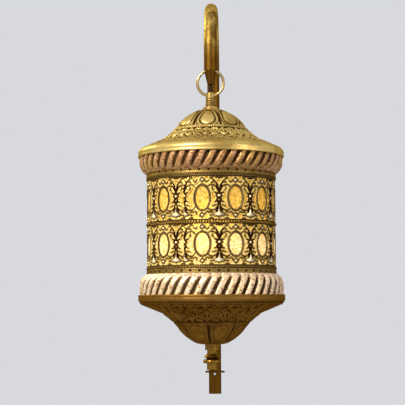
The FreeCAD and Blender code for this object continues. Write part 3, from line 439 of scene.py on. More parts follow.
def evenly(points, step):
    # points at even spacing along a line
    points = np.array(points, float)
    lengths = np.concatenate([[0], np.cumsum(np.hypot(*np.diff(points, axis=0).T))])
    marks = np.linspace(0, lengths[-1], max(2, round(lengths[-1] / step) + 1))
    return np.stack([np.interp(marks, lengths, side) for side in points.T], 1), marks


def turnRound(shape, segments, sectors):
    # spin a section through one of some equal sectors, then repeat the sector round the axis
    sector = 2 * math.pi / sectors
    about = {"cent": (0, 0, 0), "axis": (0, 0, 1), "dvec": (0, 0, 0), "use_merge": False}
    bmesh.ops.spin(shape, geom=shape.verts[:] + shape.edges[:], angle=sector, steps=segments // sectors,
                   use_duplicate=False, **about)
    bmesh.ops.spin(shape, geom=shape.verts[:] + shape.edges[:] + shape.faces[:],
                   angle=sector * (sectors - 1), steps=sectors - 1, use_duplicate=True, **about)
    bmesh.ops.remove_doubles(shape, verts=shape.verts, dist=1e-3)
    bmesh.ops.recalc_face_normals(shape, faces=shape.faces)


def turnShell(outer, inner, around):
    # spin a closed section about the axis; each vertex of the outside knows its place along the section
    shape = bmesh.new()
    along = layerOf(shape, "along")
    outer, marks = outer
    section = [shape.verts.new((0.0, -radius, level)) for radius, level in outer]
    for vert, mark in zip(section, marks):
        vert[along] = mark
    for radius, level in inner:
        vert = shape.verts.new((0.0, -radius, level))
        vert[along] = -1.0
        section.append(vert)
    for pair in zip(section, section[1:] + section[:1]):
        shape.edges.new(pair)
    turnRound(shape, *around)
    return shape


def carve(shape, outer, relief):
    # move the outside by relief(angle, place along, radius), which gives (height, hollow)
    points, marks = outer
    along, hollowAndShadeLayer = layerOf(shape, "along"), layerOf(shape, "hollowAndShade")
    tangent = np.gradient(points, marks, axis=0)
    tangent /= np.maximum(np.hypot(tangent[:, 0], tangent[:, 1]), 1e-9)[:, None]
    verts = [vert for vert in shape.verts if vert[along] >= 0]
    place = np.array([vert[along] for vert in verts])
    where = np.array([vert.co for vert in verts])
    radius = np.hypot(where[:, 0], where[:, 1])
    angle = np.arctan2(where[:, 0], -where[:, 1])
    height, hollowAndShade = relief(angle, place, radius)
    # the outside lies to the right of the way along the section
    radius = radius + np.interp(place, marks, tangent[:, 1]) * height
    level = where[:, 2] - np.interp(place, marks, tangent[:, 0]) * height
    carved = np.stack([radius * np.sin(angle), -radius * np.cos(angle), level], axis=1)
    for vert, spot, hollowHere in zip(verts, carved, hollowAndShade):
        vert.co = spot
        vert[hollowAndShadeLayer] = hollowHere


def turnCarved(outer, inner, around, relief, node, way):
    # turn a section, carve its outside and put it where its node is; way -1 turns it upside down
    shape = turnShell(outer, inner, around)
    carve(shape, outer, relief)
    low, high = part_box(node)
    if way < 0:
        bmesh.ops.scale(shape, vec=(1, 1, -1), verts=shape.verts)
        bmesh.ops.reverse_faces(shape, faces=shape.faces)
    bmesh.ops.translate(shape, vec=(0, 0, (low.z if way > 0 else high.z) / mm), verts=shape.verts)
    return shape


def fromNearest(angle, pitch):
    # the angle from the nearest of the marks that stand a pitch apart
    return (angle + pitch / 2) % pitch - pitch / 2


def bump(distance, width):
    # a rounded ridge, 1 at its middle and 0 at width away
    return np.clip(1 - (distance / width) ** 2, 0, 1)


def smoothStep(low, high, value):
    share = np.clip((value - low) / (high - low), 0, 1)
    return share * share * (3 - 2 * share)


def awayFromLine(line, across, up):
    # distance of each place from a line of points
    away = np.full_like(across, farAway)
    for first, last in zip(line, line[1:]):
        way = last - first
        x, y = across - first[0], up - first[1]
        share = np.clip((x * way[0] + y * way[1]) / max(way @ way, 1e-9), 0, 1)
        away = np.minimum(away, np.hypot(x - share * way[0], y - share * way[1]))
    return away


def lookUp(table, row, column):
    # the table's value between its entries
    row = np.clip(row, 0, table.shape[0] - 1.001)
    column = np.clip(column, 0, table.shape[1] - 1.001)
    rowAt, columnAt = row.astype(int), column.astype(int)
    down, along = row - rowAt, column - columnAt
    before = table[rowAt, columnAt] * (1 - down) + table[rowAt + 1, columnAt] * down
    after = table[rowAt, columnAt + 1] * (1 - down) + table[rowAt + 1, columnAt + 1] * down
    return before * (1 - along) + after * along


# the cap and the bowl come from one stamping, and their reliefs run up from the rim
stamp = {
    "around": (640, 20),    # steps round, and the sectors that they are turned in
    "step": 0.62,           # spacing of rings down the section
    "wall": 1.2,
    "ledgeInset": 25.3,     # inner edge of the plain flange, in from the rim
    "ledgeLevel": 18.2,
    "waistInset": 42.3,     # where the petals' dome begins
    "waistLevel": 35.2,
    "petalsFrom": 29.5,     # height over the rim where the petals begin
    "petals": 8,
    "petalDepth": 1.1,
    "grooveWidth": 0.8,     # at the petals' tips
    "grooveSpread": 0.7,    # how much wider the groove is at their feet
    "ribInset": 1.9,
    "ribRise": 0.45,
    "shieldRise": 0.8,
    "shieldFoot": 0.27,     # the shield's place and half sizes, as shares of the petal
    "shieldAcross": 0.56,
    "shieldUp": 0.48,
    "shieldDown": 0.20,
    "innerLoop": 1.13,      # the two loops round a shield, as shares of its size
    "outerLoop": 1.62,
    "loopDepth": 0.55,
    "motifs": 16,
    "motifInset": 27.0,
    "ornamentRise": 0.95,
    "fieldDepth": 0.3,
    "notches": 100,
    "combBelow": 1.5,
    "combRise": 0.5,
    "dots": 48,
    "dotsAbove": 1.7,
    "dotRise": 0.8,
}


def stampSection(crown, hole, tall):
    # the stamping's outside from the rim up, and its plain inside, as (radius, height over the rim)
    wall, ledge, waist = stamp["wall"], rimRadius - stamp["ledgeInset"], rimRadius - stamp["waistInset"]
    ledgeLevel, waistLevel = stamp["ledgeLevel"], stamp["waistLevel"]
    outer = [(rimRadius, 0.0)]
    outer += arcPoints((rimRadius, 5.0), (rimRadius - 6.3, 10.4), 8.0, 8)
    outer += [(ledge, ledgeLevel)]
    outer += arcPoints((ledge - 1.8, ledgeLevel + 1.8), (waist, waistLevel), -60.0, 12)
    outer += arcPoints((waist, waistLevel), (crown, tall), 48.0, 16)[1:]
    inner = [(hole, tall), (hole, tall - wall), (crown, tall - 1.4), (waist - 2.5, waistLevel - 1.4),
             (ledge - 5.0, ledgeLevel), (ledge - 3.0, ledgeLevel - 1.4), (rimRadius - 8.0, 8.4),
             (rimRadius - wall, 4.0), (rimRadius - wall, 0.0)]
    return outer, inner


def ornamentTile(width, height, step=0.3):
    # height map of one motif: a palmette between two scrolls, mirrored about its middle
    across, up = np.meshgrid(np.arange(0, width / 2 + step, step), np.arange(0, height + step, step))
    strokes = [
        ([(0.6, 1.4), (3.0, 1.6), (6.2, 3.6), (7.7, 7.0), (6.8, 10.6), (4.2, 11.8), (2.5, 10.0), (3.4, 8.0),
          (4.8, 8.4)], 0.95),
        ([(0.0, 3.4), (0.0, 7.4)], 1.3),
        ([(8.4, 0.6), (9.4, 3.6)], 1.2),
        ([(0.0, 12.6), (0.0, 19.2)], 1.2),
        ([(0.6, 13.2), (3.0, 15.4), (4.2, 18.6), (3.2, 21.2), (1.8, 20.4)], 0.9),
        ([(0.2, 20.2), (0.9, 22.4), (0.0, 23.8)], 0.9),
        ([(9.4, 8.4), (8.7, 12.6), (9.4, 16.8)], 1.0),
        ([(7.4, 13.4), (5.8, 15.8), (6.2, 18.8), (7.8, 19.6), (8.2, 17.8)], 0.85),
        ([(6.2, 21.4), (7.6, 22.8), (9.4, 21.8)], 0.95),
    ]
    scale = width / 18.8, height / 24.6
    tile = np.zeros_like(across)
    for points, thick in strokes:
        line = smoothLine([(x * scale[0], y * scale[1]) for x, y in points], 6)
        tile = np.maximum(tile, bump(awayFromLine(line, across, up), thick * 1.3))
    return tile, step


def stampRelief(made, points, marks):
    # the relief of petals, ornament and dots, for one of the two stampings
    turn, loops, rimLine = math.radians(made["turn"]), made["loops"], made["rimLine"]
    waistAt = float(np.interp(stamp["petalsFrom"], points[:, 1], marks))
    footAt = float(np.interp(rimRadius - made["footInset"], points[::-1, 0], marks[::-1]))
    tall = float(marks[-1]) - waistAt
    middle = rimRadius - stamp["motifInset"]
    petal, motif, notch, dot = (2 * math.pi / stamp[name] for name in ("petals", "motifs", "notches", "dots"))
    tile, step = ornamentTile(middle * motif, waistAt - footAt - 5.4)

    def relief(angle, along, radius):
        up, overFoot = along - waistAt, along - footAt
        half = radius * petal / 2
        aside = np.abs(fromNearest(angle - turn, petal)) * radius
        inPetals = smoothStep(0.2, 1.2, up) * (1 - smoothStep(tall - 2.6, tall - 1.4, up))
        border = half - aside
        groove = bump(border, stamp["grooveWidth"] + stamp["grooveSpread"] * (1 - up / tall))
        rib = bump(border - stamp["ribInset"], 1.0)
        fromFoot = up - tall * stamp["shieldFoot"]
        shieldTall = tall * np.where(fromFoot > 0, stamp["shieldUp"], stamp["shieldDown"])
        shield = np.hypot(aside / (stamp["shieldAcross"] * half), fromFoot / shieldTall)
        raised = np.sqrt(np.clip(1 - shield ** 2, 0, 1))
        outerLoop = 0.6 * bump(shield - stamp["outerLoop"], 0.12)
        loop = loops * np.maximum(bump(shield - stamp["innerLoop"], 0.15), outerLoop)
        height = inPetals * (stamp["ribRise"] * rib + stamp["shieldRise"] * raised
                             - stamp["petalDepth"] * groove - stamp["loopDepth"] * loop)
        hollowAndShade = inPetals * np.clip(1.25 * groove + loop + 0.12 - 0.3 * raised, 0, 1)

        across = np.abs(fromNearest(angle - turn, motif)) * middle / step
        rise = (overFoot - 2.8) / step
        inside = (rise > 0) & (rise < tile.shape[0] - 1)
        ornament = np.where(inside, lookUp(tile, rise, across), 0)
        field = smoothStep(2.0, 3.2, overFoot) * (1 - smoothStep(-2.6, -2.0, up))
        height = height + field * (stamp["ornamentRise"] * ornament - stamp["fieldDepth"])
        hollowAndShade = hollowAndShade + field * np.clip(0.78 - 1.35 * ornament, 0, 1)

        # a comb of small notches over the ornament
        underWaist = up + stamp["combBelow"]
        comb = bump(fromNearest(angle, notch) * radius, 0.9) * bump(underWaist, 1.1)
        height = height + stamp["combRise"] * comb
        hollowAndShade = hollowAndShade + bump(underWaist, 1.5) * np.clip(0.6 - comb, 0, 1)

        # plain lines at waist, foot and lip, and a row of dots over the foot
        waistLine, footLine = bump(up, 0.8), bump(overFoot, 0.8)
        overDots = overFoot - stamp["dotsAbove"]
        pips = bump(np.hypot(fromNearest(angle - turn, dot) * radius, overDots), 1.15)
        lip = bump(along - 1.0, 1.0) - (1 - smoothStep(1.0, 6.0, along))
        height = height + 0.5 * waistLine + 0.35 * footLine + stamp["dotRise"] * pips + 0.25 * lip
        hollowAndShade = np.clip(hollowAndShade * (1 - waistLine) * (1 - pips) * (1 - footLine), 0, 1)
        hollowAndShade = np.maximum(hollowAndShade, 0.6 * bump(overDots, 1.2) * (1 - pips))
        hollowAndShade = np.maximum(hollowAndShade, rimLine * bump(overFoot + 1.3, 1.2))
        return height, hollowAndShade
    return relief


def makeStamping(name, made, body, material):
    outer, inner = stampSection(made["crown"], made["hole"], stampHeight - made["lower"])
    outer = evenly(outer, stamp["step"])
    shape = turnCarved(outer, inner, stamp["around"], stampRelief(made, *outer), made["node"], made["way"])
    finishPiece(name, shape, body, material, [made["node"]])


capStamping = {"node": "cap_dome", "way": 1, "crown": 10.4, "hole": 4.9, "lower": 0.0, "turn": -4.0,
               "footInset": 10.5, "loops": 1.0, "rimLine": 0.0}
bowlStamping = {"node": "bowl", "way": -1, "crown": 13.0, "hole": 3.4, "lower": 0.12, "turn": 18.5,
                "footInset": 2.4, "loops": 0.3, "rimLine": 1.0}
makeStamping("stampedCap", capStamping, "lantern", capBrass)
makeStamping("stampedBowl", bowlStamping, "bowl", shadedBowlBrass)
print("cap and bowl stamped")


# ribbed bands, whose sections run from the edge at the drum
band = {
    "ribs": 44,
    "perRib": 16,
    "sectors": 22,
    "step": 0.7,
    "slant": 0.47,        # how far the ribs lean round for each length up, at the rim's radius
    "depth": 1.9,
    "grooveFrom": 0.56,   # share of the half pitch where a rib's flank begins
    "grooveTo": 0.86,
    "widening": 0.16,
    "crowning": 0.45,
    "rise": 12.0,         # height of the round part
    "inset": 7.1,         # how far the drum's edge is in from the outside
    "roundness": 13.6,
    "wall": 4.2,
    "footWall": 3.4,
}


def makeBand(name, node, way, turn, material):
    low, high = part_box(node)
    outerRadius, levels = high.x / mm, (high.z - low.z) / mm
    edgeRadius, innerRadius = outerRadius - band["inset"], outerRadius - band["wall"]
    section = arcPoints((edgeRadius, 0.0), (outerRadius, band["rise"]), band["roundness"], 14)
    outer = evenly(section + [(outerRadius, levels)], band["step"])
    inner = [(innerRadius, levels), (innerRadius, band["rise"]), (edgeRadius - band["footWall"], 0.0)]
    pitch = 2 * math.pi / band["ribs"]

    def relief(angle, along, radius):
        lean = band["slant"] * way * along / outerRadius
        aside = np.abs(2 * (((angle - math.radians(turn) - lean) / pitch) % 1.0) - 1)
        wider = band["widening"] * smoothStep(2.0, 14.0, along) - 0.06
        flank = smoothStep(band["grooveFrom"] - wider, band["grooveTo"] - wider, aside)
        fade = smoothStep(0.0, 3.5, along)
        crown = np.minimum(aside / band["grooveFrom"], 1) ** 2
        height = -fade * (band["depth"] * flank + band["crowning"] * crown)
        return height, np.clip(flank * 1.1, 0, 1) * smoothStep(0.0, 7.0, along)
    around = band["ribs"] * band["perRib"], band["sectors"]
    shape = turnCarved(outer, inner, around, relief, node, way)
    finishPiece(name, shape, "lantern", material, [node])


makeBand("upperRibs", "upper_ribbed_band", 1, 1.0, shadedUpperRibCopper)
makeBand("lowerRibs", "lower_ribbed_band", -1, 3.0, litLowerRibCopper)
print("bands ribbed")


# collars with punched holes and a row of beads, then the twisted divider
collar = {
    "holes": 44,
    "perHole": 14,
    "sectors": 22,
    "step": 0.3,
    "radius": 66.0,
    "flare": 0.8,
    "wall": 0.8,
    "holeReach": 1.1475,
    "holeDepth": 0.9,
    "beadsPerHole": 4,
    "beadReach": 1.05,
    "beadRise": 0.85,
    "lineReach": 0.45,
    "lineRise": 0.5,
}


def makeCollar(name, node, way, holeAt, beadAt, lineAt):
    # way 1 has the drum below it; heights run from the drum's edge of the collar
    low, high = (corner.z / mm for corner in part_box(node))
    radius, tall, pitch = collar["radius"], high - low, 2 * math.pi / collar["holes"]
    outer = evenly([(radius, 0.0), (radius + collar["flare"], tall)], collar["step"])
    inner = [(radius - collar["wall"], tall), (radius - collar["wall"], 0.0)]

    def relief(angle, along, radiusHere):
        hole = bump(np.hypot(fromNearest(angle, pitch) * radiusHere, along - holeAt), collar["holeReach"])
        fromBead = fromNearest(angle, pitch / collar["beadsPerHole"]) * radiusHere
        bead = bump(np.hypot(fromBead * 0.85, along - beadAt), collar["beadReach"])
        line = np.maximum.reduce([bump(along - place, collar["lineReach"]) for place in lineAt])
        height = collar["beadRise"] * bead + collar["lineRise"] * line - collar["holeDepth"] * hole
        nearBead = bump(along - beadAt, 1.3) * (1 - bead)
        return height, np.clip(1.6 * hole + 1.1 * nearBead + 0.35 * (1 - line) * (1 - bead), 0, 1)
    around = collar["holes"] * collar["perHole"], collar["sectors"]
    shape = turnCarved(outer, inner, around, relief, node, way)
    finishPiece(name, shape, "lantern", drumBrass, [node])


makeCollar("upperCollar", "upper_collar", 1, 5.6, 1.5, [0.2, 3.0, 4.0])
makeCollar("lowerCollar", "lower_collar", -1, 4.9, 1.4, [0.2, 2.9])

divider = {"strands": 150, "perStrand": 8, "sides": 10, "sectors": 25, "lobe": 0.34}


def makeDivider():
    low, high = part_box("divider_wire")
    thick = (high.z - low.z) / mm / 2
    ringRadius = (high.x - low.x) / mm / 2 - thick
    shape = bmesh.new()
    upright = Matrix.Translation((0, -ringRadius, 0)) @ Matrix.Rotation(math.pi / 2, 4, "Y")
    bmesh.ops.create_circle(shape, segments=divider["sides"], radius=1.0, matrix=upright)
    turnRound(shape, divider["strands"] * divider["perStrand"], divider["sectors"])
    hollowAndShadeLayer = layerOf(shape, "hollowAndShade")
    for vert in shape.verts:
        bearing = math.atan2(vert.co.x, -vert.co.y)
        outwards = Vector((math.sin(bearing), -math.cos(bearing), 0))
        away = vert.co - outwards * ringRadius
        side = math.atan2(away.z, away.dot(outwards))
        swell = math.cos(2 * side - divider["strands"] * bearing)
        size = thick * (1 - divider["lobe"] + divider["lobe"] * swell)
        vert.co = outwards * (ringRadius + size * math.cos(side)) + Vector((0, 0, size * math.sin(side)))
        vert[hollowAndShadeLayer] = 0.55 - 0.75 * swell
    bmesh.ops.translate(shape, vec=(0, 0, (low.z + high.z) / 2 / mm), verts=shape.verts)
    finishPiece("twistedDivider", shape, "lantern", drumBrass, ["divider_wire"])


makeDivider()
print("collars and divider made")


# filigree rows: strokes drawn flat about each oval and connector, then curled round the drum
filigree = {
    "cells": 12,
    "firstOval": -5.9,       # degrees from the front
    "pitch": 29.2,
    "cutConnector": -22.3,
    "drawnTall": 44.4,       # height that the strokes are drawn for
    "radius": 65.5,
    "flatten": 0.85,
    "heavier": 0.98,
    "ovalAcross": 8.2,
    "ovalUp": 12.9,
    "innerLine": 1.15,
    "beads": 34,
    "beadThick": 0.95,
    "eyeUp": 17.3,           # the small circles above and below an oval
    "eyeRadius": 1.9,
    "borderTall": 1.3,
    "borderOut": 66.1,
    "borderIn": 65.2,
    "borderStep": 0.65,
    "borderHollow": 0.85,
    "stemReach": 3.6,        # the browner stems lie this near a connector's middle
    "sheetStep": 0.65,       # grid of the pierced sheet under the strokes
    "sheetRadius": 65.6,
    "sheetThick": 0.35,
    "sheetBorder": 1.6,
    "paleRise": 0.3,
    "pierced": 1.75,         # the sheet is cut away beyond this distance from every stroke
}

# strokes of the right half of a connector, as (across, up, thickness)
connectorStrokes = [
    [(0.2, 5.4, 1.0), (0.8, 9.3, 0.95), (2.1, 13.0, 0.9), (4.2, 16.2, 0.8), (6.8, 18.3, 0.65),
     (9.0, 18.8, 0.45)],
    [(1.0, 7.0, 0.8), (2.4, 9.8, 0.8), (4.4, 11.7, 0.8), (7.0, 12.6, 0.75), (9.6, 12.0, 0.7),
     (11.4, 10.4, 0.6)],
    [(0.9, -3.6, 0.6), (1.1, -7.4, 0.75), (2.4, -10.4, 0.85), (4.9, -12.1, 0.85), (7.8, -12.4, 0.75),
     (10.2, -11.4, 0.7), (11.6, -9.8, 0.6)],
    [(1.5, -9.2, 0.7), (2.2, -12.2, 0.75), (3.6, -15.0, 0.75), (5.8, -16.9, 0.65), (8.8, -17.5, 0.4)],
    [(1.3, 4.1, 0.55), (3.0, 4.5, 0.6), (4.5, 5.2, 0.95)],
    [(1.2, -3.4, 0.5), (3.0, -3.9, 0.6), (4.5, -4.3, 0.9)],
    [(0.0, 5.0, 0.6), (3.1, 1.8, 0.6)],
    [(3.1, 1.8, 0.6), (0.0, -1.2, 0.6)],
    [(0.6, 0.2, 0.5), (2.4, -2.0, 0.6)],
    [(2.4, -2.0, 0.6), (0.0, -4.2, 0.6)],
    [(0.0, 18.9, 0.5), (1.4, 20.4, 0.55)],
    [(1.4, 20.4, 0.55), (2.6, 19.2, 0.5)],
    [(2.6, 19.2, 0.5), (4.0, 20.6, 0.6)],
    [(5.6, 7.2, 0.5), (7.0, 8.6, 0.75), (6.4, 10.2, 0.6)],
    [(10.2, 16.6, 0.5), (11.6, 15.2, 0.75), (13.2, 15.8, 0.6), (13.6, 17.4, 0.5)],
    [(10.0, -15.0, 0.5), (11.4, -13.8, 0.75), (13.0, -14.6, 0.6), (13.4, -16.4, 0.5)],
    [(6.4, -14.4, 0.5), (7.8, -14.6, 0.6), (8.8, -13.8, 0.5)],
    [(4.9, 15.0, 0.5), (6.2, 15.4, 0.65), (7.2, 14.6, 0.5)],
    [(3.4, -7.2, 0.5), (4.8, -8.2, 0.7), (6.4, -8.0, 0.6)],
    [(5.0, 20.8, 0.5), (6.6, 20.0, 0.6), (8.4, 20.9, 0.5)],
    [(6.0, -20.6, 0.5), (7.8, -19.8, 0.6), (9.6, -20.6, 0.5)],
]

bellEdge = [(0, -10.4), (0.9, -12.2), (1.4, -13.8), (2.6, -14.8), (4.2, -15.5), (4.8, -16.9), (4.0, -18.3),
            (2.7, -17.9), (1.8, -17.1), (1.3, -18.5), (0, -19.3)]


def addStroke(curve, points, closed=False):
    if len(points) > 2 and not closed:
        points = smoothLine(points, 5)
    spline = curve.splines.new("POLY")
    spline.points.add(len(points) - 1)
    for point, (across, up, thick) in zip(spline.points, points):
        point.co = (across, up, 0, 1)
        point.radius = thick
    spline.use_cyclic_u = closed


def addEllipse(curve, middleUp, across, up, count, thick, beads=0, swell=0.0):
    turns = np.arange(count) / count * 2 * math.pi
    wave = 0.5 + 0.5 * np.cos(turns * beads) if beads else np.ones(count)
    thick = thick * (1 - swell + swell * wave)
    addStroke(curve, np.stack([across * np.cos(turns), middleUp + up * np.sin(turns), thick], axis=1), True)


def strokesToShape(build):
    # draw strokes with a round section, as a mesh in the flat
    curve = bpy.data.curves.new("strokes", "CURVE")
    curve.dimensions = "3D"
    curve.bevel_depth = filigree["heavier"]
    curve.bevel_resolution = 1
    curve.use_fill_caps = True
    build(curve)
    drawn = bpy.data.objects.new("strokes", curve)
    mesh = bpy.data.meshes.new_from_object(drawn)
    shape = bmesh.new()
    shape.from_mesh(mesh)
    bpy.data.objects.remove(drawn)
    bpy.data.curves.remove(curve)
    bpy.data.meshes.remove(mesh)
    return shape


def addBead(shape, up, radius, rise):
    layer = layerOf(shape, "pale")
    place = Matrix.Translation((0, up, 0)) @ Matrix.Scale(rise, 4, (0, 0, 1))
    made = bmesh.ops.create_uvsphere(shape, u_segments=10, v_segments=6, radius=radius, matrix=place)
    for vert in made["verts"]:
        vert[layer] = 1.0


def addBell(shape, half):
    # the flared bell under a connector: a lobed plate with a raised middle
    layer = layerOf(shape, "pale")
    edge = smoothLine(bellEdge, 4)
    left = [] if half else [(-x, y) for x, y in edge[-2:0:-1]]
    face = shape.faces.new([shape.verts.new((x, y, -0.7)) for x, y in [*edge, *left]])
    bmesh.ops.inset_region(shape, faces=[face], thickness=0.5, depth=0.0)
    bmesh.ops.translate(shape, vec=(0, 0, 1.5), verts=face.verts)
    for vert in face.verts:
        vert[layer] = 0.51
    crown = bmesh.ops.poke(shape, faces=[face])
    for vert in crown["verts"]:
        vert.co += Vector((0, -1.4, 0.8))
        vert[layer] = 0.75
    bmesh.ops.holes_fill(shape, edges=[edge for edge in shape.edges if edge.is_boundary])


def drawConnector(half):
    # the scrollwork between two ovals, or only its right half, for the one that the seam cuts
    heavyWithin, heavyBy = 3.4, 1.3

    def build(curve):
        for line in connectorStrokes:
            line = [(across, up, thick * (heavyBy if across < heavyWithin else 1.0))
                    for across, up, thick in line]
            addStroke(curve, line)
            if not half:
                addStroke(curve, [(-across, up, thick) for across, up, thick in line])
        edge = [(*point, 0.55) for point in bellEdge]
        if not half:
            edge += [(-across, up, thick) for across, up, thick in edge[-2::-1]]
        addStroke(curve, edge)
        if not half:
            addStroke(curve, [(0, 3.6, 1.0), (0, 6.4, 1.05)])
    shape = strokesToShape(build)
    if not half:
        addBead(shape, 1.8, 1.15, 1.3)
        addBead(shape, 10.6, 0.7, 1.2)
    addBell(shape, half)
    return shape


def drawOval():
    across, up, inner = filigree["ovalAcross"], filigree["ovalUp"], filigree["innerLine"]
    beads, thick, eyeUp, eye = (filigree[key] for key in ("beads", "beadThick", "eyeUp", "eyeRadius"))

    def build(curve):
        addEllipse(curve, 0, across, up, beads * 4, thick, beads, 0.42)
        addEllipse(curve, 0, across - inner, up - inner, 48, 0.5)
        for way in (1, -1):
            addEllipse(curve, eyeUp * way, eye, eye, 16, 0.5)
            addStroke(curve, [(0, 13.4 * way, 0.6), (0, 15.6 * way, 0.5)])
            addStroke(curve, [(0, 19.0 * way, 0.5), (0, 21.2 * way, 0.6)])
    shape = strokesToShape(build)
    for way in (1, -1):
        addBead(shape, eyeUp * way, 1.1, 1.2)
    return shape


def copyInto(shape, source):
    # add one bmesh to another, and give the vertices that came
    carrier = bpy.data.meshes.new("carrier")
    source.to_mesh(carrier)
    first = len(shape.verts)
    shape.from_mesh(carrier)
    bpy.data.meshes.remove(carrier)
    shape.verts.ensure_lookup_table()
    return shape.verts[first:]


def rowPlaces(node):
    # a row's middle level, its height, and how far the strokes are squeezed to fit it
    low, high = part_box(node)
    tall = (high.z - low.z) / mm
    return (low.z + high.z) / 2 / mm, tall, tall / filigree["drawnTall"]


def makeRow(name, node):
    middle, tall, squeeze = rowPlaces(node)
    firstOval, pitch = math.radians(filigree["firstOval"]), math.radians(filigree["pitch"])
    oval, connector, cut = drawOval(), drawConnector(False), drawConnector(True)
    flat = []
    for index in range(filigree["cells"]):
        flat.append((oval, firstOval + pitch * index))
        flat.append((connector, firstOval + pitch * (index + 0.5)))
    flat.append((cut, math.radians(filigree["cutConnector"])))
    shape = bmesh.new()
    hollowAndShadeLayer = layerOf(shape, "hollowAndShade")
    for source, turn in flat:
        source.normal_update()
        layer = layerOf(source, "pale")
        turns = [(*vert.normal, vert[layer]) for vert in source.verts]
        for vert, (aside, upward, facing, pale) in zip(copyInto(shape, source), turns):
            across, up, out = vert.co
            angle = turn + across / filigree["radius"]
            radius = filigree["radius"] + out * filigree["flatten"]
            vert.co = (radius * math.sin(angle), -radius * math.cos(angle), up * squeeze)
            # painted shade and highlight: each stroke is darkened on its right and lower flanks and lightened
            # on its crest, as if lit from the upper left; the strokes near a connector's middle are browner
            # too
            stem = source is not oval and abs(across) < filigree["stemReach"]
            flankShadeAndStems = 1.15 - 0.45 * abs(facing) + 0.6 * aside - 0.3 * upward + 0.45 * stem
            vert[hollowAndShadeLayer] = -pale if pale > 0.5 else min(max(flankShadeAndStems, 0.0), 1.0)
    for source in (oval, connector, cut):
        source.free()
    bmesh.ops.remove_doubles(shape, verts=shape.verts, dist=1e-5)
    bmesh.ops.recalc_face_normals(shape, faces=shape.faces)
    for way in (1, -1):
        low, high = sorted((way * tall / 2, way * (tall / 2 - filigree["borderTall"])))
        outer = evenly([(filigree["borderOut"], low), (filigree["borderOut"], high)], filigree["borderStep"])
        ring = turnShell(outer, [(filigree["borderIn"], high), (filigree["borderIn"], low)], (192, 12))
        borderHollow = layerOf(ring, "hollowAndShade")
        for vert in ring.verts:
            vert[borderHollow] = filigree["borderHollow"]
        copyInto(shape, ring)
        ring.free()
    bmesh.ops.translate(shape, vec=(0, 0, middle), verts=shape.verts)
    finishPiece(name, shape, "lantern", filigreeBrass, [node])


# distances from the strokes of half a connector, in a table over its right side
strokeTable = {"step": 0.3, "across": 19, "up": 23, "reach": 18}


def tableOfDistances():
    across, up = np.meshgrid(np.arange(0, strokeTable["across"], strokeTable["step"]),
                             np.arange(-strokeTable["up"], strokeTable["up"], strokeTable["step"]))
    away = np.full_like(across, farAway)
    for points in connectorStrokes + [bellEdge]:
        line = smoothLine(points, 4) if len(points) > 2 else np.array(points)
        away = np.minimum(away, awayFromLine(line[:, :2], across, up))
    return away


